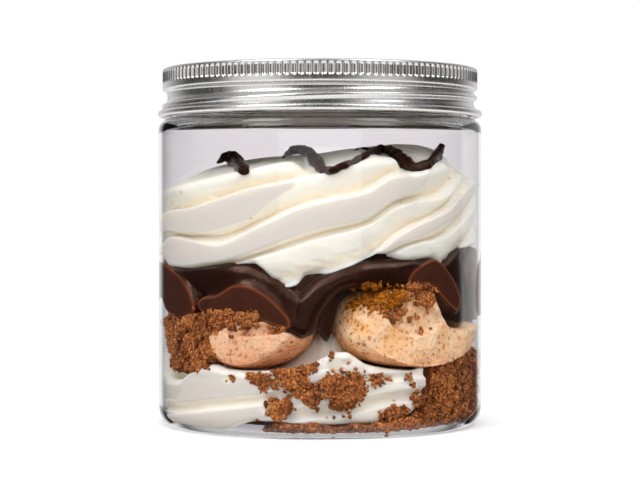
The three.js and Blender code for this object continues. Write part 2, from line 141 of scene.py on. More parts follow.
# How far a ridge's upper edge lies above the even spiral, as (bearing, mm), for the ridges in front.
RIDGE_DRIFT = {
    2: ((-80, 8), (-58, 3.6), (-26, -1.1), (-11, -2.4), (20, -1.5), (70, 4)),
    1: ((-80, 8), (-44, 2.7), (-26, 1.7), (-6, -0.5), (21, -1.6), (42, -0.5), (72, 4)),
    0: ((-69, 8.2), (-50, 3.5), (-34, -1), (-18, 0.1), (-6, 0.75), (4, 0), (16, -1.2), (24, 0), (42, -1.7),
        (60, 1.5), (75, 4)),
    -1: ((-70, 8), (-50, 4), (-32, 1.4), (-16, 0.2), (0, -0.3), (16, -1.2), (28, 0.5), (50, -2.2), (62, 1),
         (75, 4.5)),
    -2: ((-50, 4), (0, -1), (16, -0.9), (28, 1.9), (36, 2.4), (50, 2.4), (58, 3.9), (72, 4.8)),
    -3: ((-20, 3), (0, 3), (32, 6), (50, 4.1), (72, 5)),
}
EVEN_DRIFT = ((-180, 0), (-130, 4), (-92, 8))
EVEN_DRIFT_RIGHT = ((92, 4.5), (130, 2), (180, 0))
# How far down from its upper edge a front ridge is pressed flat on the wall, as (bearing, mm), if it is.
PRESSED_WIDTH = {
    1: ((-80, 4.3), (-44, 6.5), (-26, 7.1), (-17, 3.9), (-9, 1.2), (-4, 0), (90, 0)),
    0: ((-80, 8), (-62, 8), (-34, 6.8), (-22, 7.4), (-6, 9.2), (9, 7.9), (16, 6.6), (30, 5.6), (39, 2.4),
        (43, 0), (90, 0)),
    -2: ((14, 0), (18, 0.8), (28, 1.9), (36, 3.1), (50, 2.6), (58, 3.2), (72, 2.8), (90, 3)),
}
CREASE_DEPTH = 2.7
SWIRL_UNDERSIDE = 42.4
SWIRL_HEM = ((-180, 43), (-110, 41.5), (-80, 41.6), (-72, 41.2), (-66, 39.4), (-56, 39.2), (-44, 39.7),
             (-35, 40.7), (-24, 41.4), (-20.5, 40), (-16.5, 37.2), (-12, 35.7), (-8.6, 36.3), (-5, 38.5),
             (3.5, 39.1), (10, 40.5), (17, 42.8), (21.5, 43.9), (26, 43), (31.5, 41.6), (42, 42),
             (50, 40.4), (58, 42.6), (69, 44.8), (115, 43), (150, 42))
SWIRL_RIM = ((-180, 61.5), (-130, 60.5), (-80, 59.8), (-58, 60.8), (-26, 63.8), (-11, 65.4), (-4, 63.2),
             (6, 64.6), (21, 66.6), (27, 66.4), (34, 63.6), (42, 64.8), (50, 65.6), (60, 63.8), (72, 62.2),
             (100, 62.6), (140, 62))
# Height of the mound's crest from left to right, as (x, height).
MOUND_CREST = ((-39, 60.5), (-34, 63.4), (-25, 65.8), (-9, 67.6), (4, 69), (15, 70.2), (22, 70.8), (29, 70.2),
               (34.5, 66), (39, 62))
SWIRL_COLUMNS = 640
SWIRL_ROWS = 92
MOUND_ROWS = 40

# ---- The drizzle -----------------------------------------------------------------------------
# Where the drizzle is seen, as (column, row) in pixels of the frame, with its half width in millimetres.
# Each strand is laid on the cream there.
DRIZZLE_SEEN = (
    ((217, 163, 0.35), (221, 160.5, 0.6), (225, 157.5, 0.95), (230, 157, 1.35), (236, 160.5, 1.5),
     (241, 166, 1.5), (245.5, 171.5, 1.4)),
    ((283, 158, 0.5), (288, 153.5, 0.85), (297, 150, 1.05), (306, 151.5, 1.15), (313, 157.5, 1.25),
     (318, 164, 1.3), (323, 170, 1.1), (332, 170, 0.8), (345, 165.5, 0.8), (360, 159, 0.85),
     (373, 152.5, 0.95), (384, 149.5, 1.05), (393, 153, 1.2), (401, 160, 1.35), (409, 167.5, 1.4),
     (420, 167.5, 1.15), (431, 162, 1.15), (438, 153, 1.25), (442, 144, 1.3)),
    ((355, 149.6, 0.25), (362, 149, 0.4), (369, 149.4, 0.45), (375, 151, 0.4)),
)

DRIZZLE_SPACING = 1.2  # pixels between the rings of a strand
DRIZZLE_LIFT = 1.2  # how far a strand lies in front of the cream
DRIZZLE_SIDES = 20

# ---- The chocolate ---------------------------------------------------------------------------
CHOCOLATE_HEM = ((-180, 30), (-120, 31), (-88, 26), (-70, 27.5), (-56, 26.2), (-51, 27.4), (-47.5, 29.2),
                 (-44, 29), (-34, 29.2), (-24, 28.9), (-16, 26.9), (-11, 25.4), (-6.2, 23.9), (-3, 24.6),
                 (-0.5, 27.1), (2, 30.8), (6, 34.5), (9, 35.3), (21, 35.9), (30, 35.3), (39, 34.9),
                 (43, 34), (45, 31), (48, 28), (52, 26.1), (58, 25.2), (65, 25.1), (72, 26.2), (85, 26.4),
                 (92, 28), (110, 30), (145, 28))
# Outlines of the places where the chocolate is pressed on the wall, as (bearing, height).
PRESSED_CHOCOLATE = (
    ((-93, 40), (-85, 41), (-70, 40.4), (-57.4, 37.7), (-51.4, 34), (-49.1, 30.2), (-53.3, 26.8), (-61, 28),
     (-69.4, 29.5), (-76, 32.2), (-88, 32)),
    ((-46.3, 31.4), (-43.3, 33), (-37.6, 33.5), (-31.2, 35.8), (-26.8, 36.1), (-22.3, 35.2), (-17.2, 33.1),
     (-12.3, 29.9), (-10.3, 27.8), (-11.3, 26.3), (-15.8, 27.2), (-24.2, 29.2), (-33.7, 29.5), (-43.8, 29.5)),
    ((31.6, 37), (33, 39), (35.8, 40.3), (41.3, 41.9), (45.8, 41.3), (50.2, 38.8), (54.6, 35.6), (56.9, 32.4),
     (55.3, 29.9), (50.8, 31.3), (46.3, 33.6), (43.2, 35.4), (38.5, 36.6), (34, 35.7)),
    ((88, 44), (80, 42), (73.8, 39.6), (70.9, 34.2), (72.4, 29.2), (79, 26.6), (88, 27.5), (95, 35)),
    ((128, 36), (140, 38), (158, 36.5), (166, 33), (158, 31), (142, 32)),
    ((-150, 39), (-138, 40), (-124, 36), (-118, 33), (-128, 32), (-142, 35)),
)
# Streams of chocolate on their way down: path on the wall as (bearing, height), half width, and how far
# each stands out.
STREAMS = (
    (((-60, 40), (-38, 37.4), (-27, 37), (-18, 34.6), (-11, 30.5), (-6.7, 26.5)), 4.6, 2.5),
    (((-6.5, 26.5), (-4.5, 31.1), (1.3, 34.9), (8.6, 37.4), (16, 38.6), (24, 39.1), (33, 39)), 3.5, 2.9),
    (((60, 44), (61, 36), (60, 29.5)), 6.4, 2.7),
    (((-62, 42), (-57, 39), (-50, 36)), 3.2, 1.5),
    (((100, 40), (103, 33)), 6, 2.2),
    (((150, 38), (175, 34), (190, 33)), 5, 2.4),
    (((-110, 40), (-104, 34)), 5.5, 2.3),
)
CHOCOLATE_FLOOR = 33.2
CHOCOLATE_ROWS = 84
CHOCOLATE_COLUMNS = 720

# ---- The sponge fingers ----------------------------------------------------------------------
# Middle (x, z), half width, half height, tilt in degrees, and where the finger starts and ends in y.
SPONGE_LEFT = ((-13.7, 25.0), 14.4, 9.5, 16, (-39.2, 26))
SPONGE_RIGHT = ((19.9, 25.8), 18.6, 10.5, -4, (-38.6, 22))
SPONGE_SQUARENESS = 2.3
SPONGE_END_SQUARENESS = 5.0
SPONGE_SIDES, SPONGE_FRONT_RINGS, SPONGE_BODY_RINGS = 320, 100, 60

# ---- The lower cream -------------------------------------------------------------------------
LOWER_TOP = ((-180, 20), (-100, 23), (-84, 22), (-76, 14), (-68, 12.4), (-60, 12.6), (-52, 15), (-44, 16.7),
             (-40, 17.1), (-34, 16.2), (-25, 16), (-14, 16.4), (-5.9, 17), (1.3, 19.4), (5, 20.6),
             (9, 20.6), (12, 19.6), (17, 17.6), (26, 16.4), (34, 15.9), (39, 16.5), (44, 15.6), (60, 17),
             (80, 18), (125, 21))
LOWER_BOTTOM = ((-180, 4.5), (-100, 4.2), (-84, 4.5), (-72, 2.0), (-64, 1.15), (-38, 1.15), (-33, 1.9),
                (-22, 4.2), (3.5, 3.2), (21, 3.3), (32.5, 5), (40.4, 8), (60, 8), (100, 5))
# Folds of the lower cream: path on the wall as (bearing, height), half width and depth.
LOWER_FOLDS = (
    (((-100, 4.6), (-62, 5.4), (-50, 6.4), (-32, 8.3), (-16, 9.8)), 1.5, 1.5),
    (((-16, 9.8), (-4, 12), (6, 13.6)), 1.6, 1.0),
    (((10, 14.6), (22, 14.2), (34, 14.8), (42, 15)), 1.1, 0.9),
    (((-10, 5.6), (12, 7.8), (24, 9.2), (42, 10.6)), 1.7, 1.5),
    (((-12, 15.4), (2, 17), (10, 18.4)), 1.0, 0.7),
    (((100, 12), (130, 9), (170, 12), (200, 9)), 2.0, 1.8),
    (((-170, 13), (-140, 15), (-110, 12)), 1.8, 1.5),
)
LOWER_COLUMNS = 640
LOWER_ROWS = 72

# ---- The crumbs ------------------------------------------------------------------------------
# Height of the crumb bed's upper edge at the wall, as (bearing, height).
BED_TOP = ((-180, 4.6), (-100, 4.4), (-80, 3.4), (-70, 1.1), (-30, 1.1), (-24, 1.2), (-20, 2.0), (-12, 3.9),
           (-6, 3.6), (2, 3.1), (9, 2.9), (16, 3.5), (23, 3.9), (31, 4.4), (35.5, 6), (39.5, 7.6),
           (41.5, 11), (42.5, 15.6), (46, 17.4), (54, 18.6), (61, 19.2), (70, 19.4), (78, 18.8), (86, 14.4),
           (96, 9), (120, 5.6))
BED_COLUMNS = 920
BED_ROWS = 64
# The crumb heap's lower and upper edge at the wall, as (bearing, height).
HEAP_LOWER = ((-84, 24.6), (-74, 24), (-68, 19), (-66, 15.6), (-61, 14.2), (-55, 14), (-46, 16.4),
              (-40, 17.2), (-38, 20.6), (-33, 24.4), (-25, 25.6), (-16, 27))
HEAP_UPPER = ((-84, 27), (-70, 27.4), (-60, 27.4), (-52, 29), (-46, 29.6), (-36, 29.6), (-30, 30.2),
              (-24, 30.2), (-16, 28))
HEAP_LEFT, HEAP_RIGHT = -84, -16
HEAP_DEPTH = 10.0
HEAP_COLUMNS = 270
HEAP_ROWS = 74
HEAP_BACK_ROWS = 12
# Where loose crumbs lie in front of the cream: outline at the wall as (bearing, height), number of clumps,
# grains in each, and how far a clump reaches in millimetres.
CREAM_CLUSTERS = (
    (((-25, 14.5), (-22, 15.6), (-16.4, 16), (-13.4, 18.3), (-9.6, 18.8), (-6, 17.6), (-1.6, 18.9),
      (1.3, 18.6), (1.3, 16.8), (-3, 16.3), (-6, 14.3), (-3, 12.8), (1.3, 10.7), (1.3, 8.7), (-3, 8.7),
      (-7.4, 9.7), (-11, 11.7), (-16, 11.5), (-19.5, 11.7), (-22.7, 13)), 46, 14, 1.0),
    (((-10, 17.4), (-6, 17), (-3, 13), (1, 10), (-4, 9.6), (-8, 11.6), (-12, 14)), 30, 14, 1.0),
    (((1, 13.8), (4.2, 15.6), (8.6, 14.3), (13.1, 14.7), (13.9, 12.7), (14.6, 9.1), (12.4, 7.8), (7.2, 8.7),
      (2.8, 9.2)), 64, 14, 1.0),
    (((-19.5, 9), (-16.4, 9.6), (-13.4, 9.1), (-10.4, 9.6), (-9.6, 7.6), (-11.9, 6.1), (-13.4, 4.8),
      (-16.4, 5), (-19.5, 6.9)), 22, 12, 0.8),
    (((-24, 4.6), (-21.6, 4.6), (-21.6, 3.4), (-24, 3.4)), 3, 8, 0.5),
    (((-8, 8), (-2, 9), (1, 7.6), (-4, 6.4)), 4, 4, 0.6),
    (((-34, 14.6), (-30.4, 14.6), (-30.4, 13.4), (-34, 13.4)), 3, 8, 0.5),
    (((19, 14.6), (24, 14.6), (24, 11.4), (19, 11.4)), 7, 10, 0.7),
    (((24, 14.8), (26, 14.8), (26, 13.6), (24, 13.6)), 2, 5, 0.5),
    (((31, 14.8), (34, 14.8), (34, 12), (31, 12.4)), 5, 7, 0.55),
    (((22, 5), (27, 7), (31, 6.6), (33, 5), (30, 4.2), (22, 4)), 9, 12, 0.7),
    (((33, 8.4), (36, 10.4), (41, 9.4), (43, 13), (44, 8), (36, 6)), 22, 12, 0.9),
    (((4, 19.6), (8, 19), (12, 17.6), (14, 15), (8, 15), (3, 16)), 9, 3, 0.5),
    (((0, 23), (4, 22.6), (6, 20), (3, 20)), 4, 4, 0.4),
)
# The same in front of the sponge fingers.
GOLDEN_CLUSTERS = (
    (((12, 32), (13.4, 34.6), (18, 35.4), (24, 35.2), (28.6, 34.8), (29, 32.6), (24, 31.8), (16, 31),
     (12.6, 31)), 60, 14, 0.9),
    (((15.6, 34.6), (15.2, 37.6), (16.4, 37.4), (17.4, 35)), 7, 6, 0.4),
)
SPONGE_CLUSTERS = (
    (((20, 31.4), (25.6, 31.2), (29.9, 30), (26.5, 27.6), (22.6, 28.9)), 14, 12, 0.75),
    (((29, 34.4), (33, 36), (37.2, 37), (42.2, 36), (43.3, 33.7), (39.1, 31.4), (34.3, 32.8)), 34, 14, 0.9),
    (((-42, 28.6), (-38, 29.6), (-31, 30.6), (-26, 30.2), (-21, 28.6), (-20, 27.6), (-27, 26.8), (-34, 26),
      (-41, 24)), 60, 11, 0.8),
    (((-32, 27), (-18, 27), (-12, 25.6), (-20, 24.4), (-32, 24)), 12, 4, 0.5),
    (((28, 33), (40, 31), (46, 27), (34, 24), (24, 28)), 5, 3, 0.4),
)
CRUMBS_LIE_ON = ("lower_cream_layer", "sponge_left_finger", "sponge_right_finger", "chocolate_layer")
# And where they lie loose on the heap and the bed.
HEAP_CLUSTERS = (
    (((-84, 27), (-70, 28), (-56, 28), (-44, 29), (-40, 22), (-39, 17.4), (-46, 16), (-55, 14), (-62, 14),
      (-67, 15.6), (-69, 20), (-72, 24)), 120, 9, 1.0),
    (((-68, 25), (-60, 25), (-60, 14), (-70, 14)), 22, 5, 0.9),
)
BED_CLUSTERS = (
    (((41, 16), (46, 18), (61, 20), (80, 19.6), (84, 10), (70, 2), (30, 2), (34, 5), (40, 8)), 190, 9, 1.0),
    (((-20, 2.4), (-12, 4.4), (0, 4), (16, 4), (32, 5), (40, 8), (40, 2), (-18, 1.2)), 130, 8, 0.8),
    (((-40, 1.5), (-22, 2.2), (-22, 1.3), (-40, 1.2)), 3, 3, 0.3),
)


def at(radius, bearing, height):
    """Points in millimetres from radii, bearings and heights, as an array with x, y and z last."""
    angle = np.radians(bearing)
    return np.stack(np.broadcast_arrays(radius * np.sin(angle), -radius * np.cos(angle), height), -1)


def on_axis(height):
    return np.array([0, 0, height])


def all_round(columns):
    """Bearings of evenly spaced columns round the jar."""
    return np.linspace(-180, 180, columns, endpoint=False)


def smooth(value, low, high):
    """0 up to a low value, 1 from a high one, eased between them."""
    share = np.clip((np.asarray(value, float) - low) / (high - low), 0, 1)
    return share * share * (3 - 2 * share)


def rounded_off(distance, reach, deep):
    """How far back an edge is rounded off, at a distance in millimetres from the edge."""
    share = np.clip((reach - distance) / reach, 0, 1)
    return deep * (1 - np.sqrt(1 - 0.98 * share**2))


def hermite(xs, ys, slopes, x):
    """Value at x of the cubic curve through points with slopes, level beyond its ends."""
    i = np.clip(np.searchsorted(xs, x) - 1, 0, len(xs) - 2)
    width = xs[i + 1] - xs[i]
    t = np.clip((x - xs[i]) / width, 0, 1)
    return (
        (2 * t**3 - 3 * t**2 + 1) * ys[i]
        + (t**3 - 2 * t**2 + t) * width * slopes[i]
        + (3 * t**2 - 2 * t**3) * ys[i + 1]
        + (t**3 - t**2) * width * slopes[i + 1]
    )


def curve_through(outline, x):
    """Value at x of a curve through (x, value) points, with slopes that don't overshoot."""
    xs, ys = np.array(outline, float).T
    steps = np.diff(ys) / np.diff(xs)
    slopes = np.zeros(len(xs))
    turning = steps[:-1] * steps[1:] <= 0
    mean = 2 * steps[:-1] * steps[1:] / np.where(turning, 1, steps[:-1] + steps[1:])
    slopes[1:-1] = np.where(turning, 0, mean)
    return hermite(xs, ys, slopes, x)


def around(outline, bearing):
    """The same for an outline of (bearing, value) points that runs all round the jar."""
    places, turn = np.array(outline, float), (360, 0)
    places = np.concatenate([places[-2:] - turn, places, places[:2] + turn])
    return curve_through(places, (np.asarray(bearing, float) + 180) % 360 - 180)


def waves(points, size, seed, count=18):
    """Smooth seeded unevenness of about -1 to 1, with bumps of a size in millimetres."""
    draw = np.random.default_rng(seed)
    ways = draw.normal(size=(count, 3))
    ways /= np.linalg.norm(ways, axis=1, keepdims=True)
    ways *= 2 * math.pi / (size * draw.uniform(1.3, 3.0, (count, 1)))
    phases = draw.uniform(0, 2 * math.pi, count)
    flat = points.reshape(-1, 3)
    total = sum(np.sin(flat @ way + phase) for way, phase in zip(ways, phases))
    return (total / math.sqrt(count)).reshape(points.shape[:-1])


def path_distance(across, height, corners, closed=True):
    """Millimetres from places on the wall to a line through corners, and whether it encloses them."""
    ends = np.roll(corners, -1, 0) if closed else corners[1:]
    nearest = np.full(across.shape, 1e9)
    inside = np.zeros(across.shape, bool)
    for (x0, z0), (x1, z1) in zip(corners, ends):
        wide, tall = x1 - x0, z1 - z0
        along = ((across - x0) * wide + (height - z0) * tall) / (wide**2 + tall**2 + 1e-12)
        along = np.clip(along, 0, 1)
        nearest = np.minimum(nearest, np.hypot(across - x0 - along * wide, height - z0 - along * tall))
        crossing = across < wide * (height - z0) / (tall or 1e-9) + x0
        inside ^= ((z0 > height) != (z1 > height)) & crossing
    return nearest, inside


def on_wall(bearing, middle):
    """Millimetres along the wall from a middle bearing."""
    return ((np.asarray(bearing, float) - middle + 180) % 360 - 180) * math.radians(1) * INNER_RADIUS


def unrolled(line):
    """A line of (bearing, height) points in millimetres on the unrolled wall, and the bearing of its 0."""
    middle = line[:, 0].mean()
    return np.stack([(line[:, 0] - middle) * math.radians(1) * INNER_RADIUS, line[:, 1]], 1), middle


def outline_distance(bearing, height, outline):
    """Signed distance in millimetres to a rounded outline on the wall, below 0 inside it."""
    corners = np.array(outline, float)
    before, after, later = (np.roll(corners, n, 0) for n in (1, -1, -2))
    rise = after - before
    bend = 2 * before - 5 * corners + 4 * after - later
    twist = 3 * corners - before - 3 * after + later
    rounded = [0.5 * (2 * corners + rise * t + bend * t**2 + twist * t**3) for t in (0, 0.25, 0.5, 0.75)]
    ring, middle = unrolled(np.stack(rounded, 1).reshape(-1, 2))
    nearest, inside = path_distance(on_wall(bearing, middle), np.asarray(height, float), ring)
    return np.where(inside, -nearest, nearest)


def in_clusters(bearing, height, clusters):
    """1 well inside the outlines of crumb clusters, 0 outside: there the food makes room for the crumbs."""
    distance = np.min([outline_distance(bearing, height, cluster[0]) for cluster in clusters], 0)
    return 1 - smooth(distance, -0.7, 0.5)


def rope(bearing, height, path, half_width):
    """A rounded bulge along a path on the wall: 1 along its middle, 0 from its edges outwards."""
    line, middle = unrolled(np.array(path, float))
    nearest, _ = path_distance(on_wall(bearing, middle), np.asarray(height, float), line, closed=False)
    return np.sqrt(np.clip(1 - (nearest / half_width) ** 2, 0, 1))


def grains(points, size, seed):
    """For each point: distance in grain sizes to the nearest seeded grain, and that grain's own number."""
    places = points.reshape(-1, 3) / size
    home = np.floor(places).astype(np.int64)
    nearest, own = np.full(len(places), 9.0), np.zeros(len(places))
    for shift in np.ndindex(3, 3, 3):
        cell = home + np.array(shift) - 1
        mixed = cell @ np.array([73856093, 19349663, 83492791]) + seed * 977
        for turn in (15, 13):
            mixed = ((mixed ^ (mixed >> turn)) * 2246822519) & 0xFFFFFFFF
        jitter = np.stack([(mixed >> step) & 1023 for step in (0, 10, 20)], -1) / 1023
        distance = np.linalg.norm(places - cell - jitter, axis=1)
        closer = distance < nearest
        own = np.where(closer, ((mixed >> 5) & 4095) / 4095, own)
        nearest = np.where(closer, distance, nearest)
    return nearest.reshape(points.shape[:-1]), own.reshape(points.shape[:-1])


def inside_wall(height):
    """Radius of what is pressed on the wall at a height, following the rounded heel."""
    low = np.clip((HEEL_INNER_HEIGHT - np.asarray(height, float)) / (HEEL_INNER_HEIGHT - FLOOR_TOP), 0, 1)
    return PRESSED_RADIUS - (INNER_RADIUS - HEEL_INNER_RADIUS) * (1 - np.sqrt(1 - 0.995 * low**2))


# ---- Meshes ----------------------------------------------------------------------------------
def set_values(mesh, values):
    """Gives each point of a mesh its numbers, as attributes that the materials read."""
    for key, numbers in values.items():
        attribute = mesh.attributes.new(key, "FLOAT", "POINT")
        attribute.data.foreach_set("value", np.asarray(numbers, np.float32).ravel())


def new_piece(name, points, faces, nodes, material, values=None):
    """A smooth mesh piece that rides on the body and stands for nodes of the frame."""
    mesh = bpy.data.meshes.new(name)
    mesh.from_pydata((points * MM).tolist(), [], faces)
    drawn = bmesh.new()
    drawn.from_mesh(mesh)
    bmesh.ops.recalc_face_normals(drawn, faces=drawn.faces)
    drawn.to_mesh(mesh)
    drawn.free()
    mesh.shade_smooth()
    set_values(mesh, values or {})
    piece = bpy.data.objects.new(name, mesh)
    bpy.context.scene.collection.objects.link(piece)
    return settle(piece, nodes, material)


def settle(piece, nodes, material):
    """Gives a piece its material and its body, and hides the nodes that it replaces."""
    piece.data.materials.clear()
    piece.data.materials.append(material)
    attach(piece, BODY)
    for node in nodes:
        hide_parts(node)
    return piece


def ring_skin(rings, start, end):
    """Points and faces of a closed skin through rings, each counted the same way, shut by two points."""
    count = rings.shape[1]
    points = np.concatenate([[start], rings.reshape(-1, 3), [end]])
    i = np.arange(count)
    following = (i + 1) % count
    faces = [(0, 1 + b, 1 + a) for a, b in zip(i, following)]
    for low in range(1, 1 + (len(rings) - 1) * count, count):
        high = low + count
        faces += np.stack([low + i, low + following, high + following, high + i], 1).tolist()
    last = 1 + (len(rings) - 1) * count
    faces += [(len(points) - 1, last + a, last + b) for a, b in zip(i, following)]
    return points, [tuple(int(v) for v in face) for face in faces]


def inner_rings(count, power=1.0):
    """Shares of the radius for rings between a skin's edge and its middle."""
    return np.linspace(1, 0, count + 2)[1:-1, None] ** power


def cover(radius, bearing, edge, middle, inward, start, stop):
    """Rings that close a skin: from its edge's height to its middle's, between two shares of the way in."""
    return at(radius * inward, bearing, edge + (middle - edge) * smooth(1 - inward, start, stop))


def ring_values(parts, values, start=0.0, end=0.0):
    """One number for each point of a skin, from those of its parts; None stands for 0 all over a part."""
    filled = [np.zeros(part.shape[:2]) if value is None else value for part, value in zip(parts, values)]
    return np.concatenate([[start], np.concatenate(filled).ravel(), [end]])


def turned_shell(name, profile, sides):
    """A turned shell, drawn out ring by ring from a circle as on a lathe, through (radius, height) points."""
    radius, height = profile[0]
    bpy.ops.object.select_all(action="DESELECT")
    bpy.ops.mesh.primitive_circle_add(
        vertices=sides, radius=radius * MM, fill_type="NGON", location=(0, 0, height * MM)
    )
    shell = bpy.context.object
    shell.name = shell.data.name = name
    bpy.ops.object.transform_apply(location=True)
    bpy.ops.object.mode_set(mode="EDIT")
    bpy.ops.mesh.select_all(action="SELECT")
    bpy.ops.mesh.poke()
    bpy.ops.mesh.select_all(action="DESELECT")
    drawn = bmesh.from_edit_mesh(shell.data)
    for edge in drawn.edges:
        edge.select_set(edge.is_boundary)
    bmesh.update_edit_mesh(shell.data)
    bpy.context.tool_settings.mesh_select_mode = (False, True, False)
    for next_radius, next_height in profile[1:]:
        upward = (0, 0, (next_height - height) * MM)
        bpy.ops.mesh.extrude_edges_move(TRANSFORM_OT_translate={"value": upward})
        share = next_radius / radius
        bpy.ops.transform.resize(value=(share, share, 1), center_override=(0, 0, next_height * MM))
        radius, height = next_radius, next_height
    bpy.ops.mesh.edge_face_add()
    bpy.ops.mesh.poke()
    bpy.ops.mesh.select_all(action="SELECT")
    bpy.ops.mesh.normals_make_consistent(inside=False)
    bpy.ops.object.mode_set(mode="OBJECT")
    bpy.ops.object.shade_smooth()
    return shell


def arc(middle_radius, middle_height, radius, start, stop, steps):
    """Points of a profile on an arc, from and to an angle in degrees above the outward way."""
    angles = np.radians(np.linspace(start, stop, steps + 1))
    return [(middle_radius + radius * math.cos(a), middle_height + radius * math.sin(a)) for a in angles]


def eased_corner(start, stop, starts_level):
    """Points of a profile on a quarter of an ellipse, which starts level and ends upright, or the reverse."""
    corner = []
    for angle in np.linspace(0, math.pi / 2, BEND_STEPS + 1):
        rising, falling = math.sin(angle), 1 - math.cos(angle)
        outward, upward = (rising, falling) if starts_level else (falling, rising)
        corner.append((start[0] + (stop[0] - start[0]) * outward, start[1] + (stop[1] - start[1]) * upward))
    return corner


# ---- Materials -------------------------------------------------------------------------------
def linear(red, green, blue):
    """A colour seen on screen, 0 to 255, as the linear colour that a shader takes."""
    shown = (red / 255, green / 255, blue / 255)
    return tuple(((c + 0.055) / 1.055) ** 2.4 if c > 0.04045 else c / 12.92 for c in shown)


class Nodes:
    """Short ways to add and link the nodes of a material or group."""

    def __init__(self, tree):
        self.tree = tree

    def add(self, kind, settings=None, inputs=None):
        node = self.tree.nodes.new(kind)
        for key, value in (settings or {}).items():
            setattr(node, key, value)
        for key, value in (inputs or {}).items():
            self.feed(node.inputs[key], value)
        return node

    def feed(self, socket, value):
        """Links a value that comes from another node, and sets any other."""
        if isinstance(value, bpy.types.NodeSocket):
            self.tree.links.new(value, socket)
        elif socket.type == "RGBA" and len(value) == 3:
            socket.default_value = (*value, 1)
        else:
            socket.default_value = value

    def mix(self, share, first, second):
        """A colour between two colours."""
        return self.add("ShaderNodeMix", {"data_type": "RGBA"}, {0: share, 6: first, 7: second}).outputs[2]

    def choose(self, share, first, second):
        """A number between two numbers."""
        return self.add("ShaderNodeMix", None, {0: share, 2: first, 3: second}).outputs[0]

    def math(self, operation, first, second=0.0):
        return self.add("ShaderNodeMath", {"operation": operation}, {0: first, 1: second}).outputs[0]

    def times(self, first, second):
        return self.math("MULTIPLY", first, second)

    def plus(self, first, second):
        return self.math("ADD", first, second)

    def minus(self, first, second):
        return self.math("SUBTRACT", first, second)

    def larger(self, first, second):
        return self.math("MAXIMUM", first, second)

    def ramp(self, value, low, high, to_low=0.0, to_high=1.0):
        """Eases from one number to another while a value runs from low to high."""
        ends = {"Value": value, "From Min": low, "From Max": high, "To Min": to_low, "To Max": to_high}
        return self.add("ShaderNodeMapRange", {"interpolation_type": "SMOOTHSTEP"}, ends).outputs[0]

    def attribute(self, name):
        return self.add("ShaderNodeAttribute", {"attribute_name": name}).outputs["Fac"]

    def place(self):
        return self.add("ShaderNodeTexCoord").outputs["Object"]

    def noise(self, size, detail=3.0, stretch=(1, 1, 1), turn=(0, 0, 0), roughness=0.55):
        """Noise in object space with bumps of a size in metres."""
        placing = {"Vector": self.place(), "Rotation": turn, "Scale": stretch}
        mapping = self.add("ShaderNodeMapping", None, placing)
        fine = {"Vector": mapping.outputs[0], "Scale": 1 / size, "Detail": detail, "Roughness": roughness}
        return self.add("ShaderNodeTexNoise", None, fine).outputs["Fac"]

    def cells(self, scale):
        """Outputs of a pattern of seeded cells in object space, with a number of them to the metre."""
        return self.add("ShaderNodeTexVoronoi", None, {"Vector": self.place(), "Scale": scale}).outputs

    def bump(self, height, distance, strength=1.0):
        relief = {"Height": height, "Distance": distance, "Strength": strength}
        return self.add("ShaderNodeBump", None, relief).outputs[0]


def new_material(name, plain=None):
    """A material with its nodes and its one shader, some of whose sockets are the same all over."""
    material = bpy.data.materials.new(name)
    material.use_nodes = True
    material.node_tree.nodes.clear()
    nodes = Nodes(material.node_tree)
    shader = nodes.add("ShaderNodeBsdfPrincipled", None, plain)
    nodes.surface = nodes.add("ShaderNodeOutputMaterial").inputs["Surface"]
    nodes.feed(nodes.surface, shader.outputs[0])
    return material, nodes, shader.inputs


def let_through(nodes, share, colour=(1, 1, 1)):
    """Mixes a material's shader with a transparent one by a share."""
    shader = nodes.surface.links[0].from_socket
    clear = nodes.add("ShaderNodeBsdfTransparent", None, {"Color": colour}).outputs[0]
    mixer = nodes.add("ShaderNodeMixShader", None, {0: share, 1: shader, 2: clear})
    nodes.feed(nodes.surface, mixer.outputs[0])


def toned(colour, share):
    """A colour made darker by a share below 1, or lighter by one above."""
    return tuple(share * c for c in colour)


def pore_group():
    """Round pores of mixed sizes, as a mask; used for each kind of pore in each sponge."""
    group = bpy.data.node_groups.get("pores")
    if group:
        return group
    group = bpy.data.node_groups.new("pores", "ShaderNodeTree")
    for name, value in (("Density", 1000.0), ("Widest", 0.3)):
        socket = group.interface.new_socket(name, in_out="INPUT", socket_type="NodeSocketFloat")
        socket.default_value = value
    group.interface.new_socket("Pores", in_out="OUTPUT", socket_type="NodeSocketFloat")
    nodes = Nodes(group)
    given = nodes.add("NodeGroupInput").outputs
    cells = nodes.cells(given["Density"])
    own = nodes.add("ShaderNodeSeparateColor", None, {0: cells["Color"]}).outputs[0]
    reach = nodes.times(nodes.ramp(own, 0.1, 1.0), given["Widest"])
    hole = nodes.ramp(nodes.minus(cells["Distance"], reach), 0.05, -0.05)
    nodes.add("NodeGroupOutput", None, {"Pores": hole})
    return group


def clear_material(settings):
    """Clear plastic that lets lamps through to the food."""
    material, nodes, shader = new_material("clear_plastic", {
        "Base Color": settings.tint, "Roughness": settings.roughness, "IOR": settings.ior,
        "Transmission Weight": 1, "Specular Tint": (settings.gloss,) * 3,
    })
    ripple = nodes.noise(0.02, 1.0, stretch=(1, 1, 0.3))
    nodes.feed(shader["Normal"], nodes.bump(ripple, 0.00004))
    shadow = nodes.add("ShaderNodeLightPath").outputs["Is Shadow Ray"]
    let_through(nodes, shadow, tuple(math.sqrt(c) for c in settings.tint))
    return material


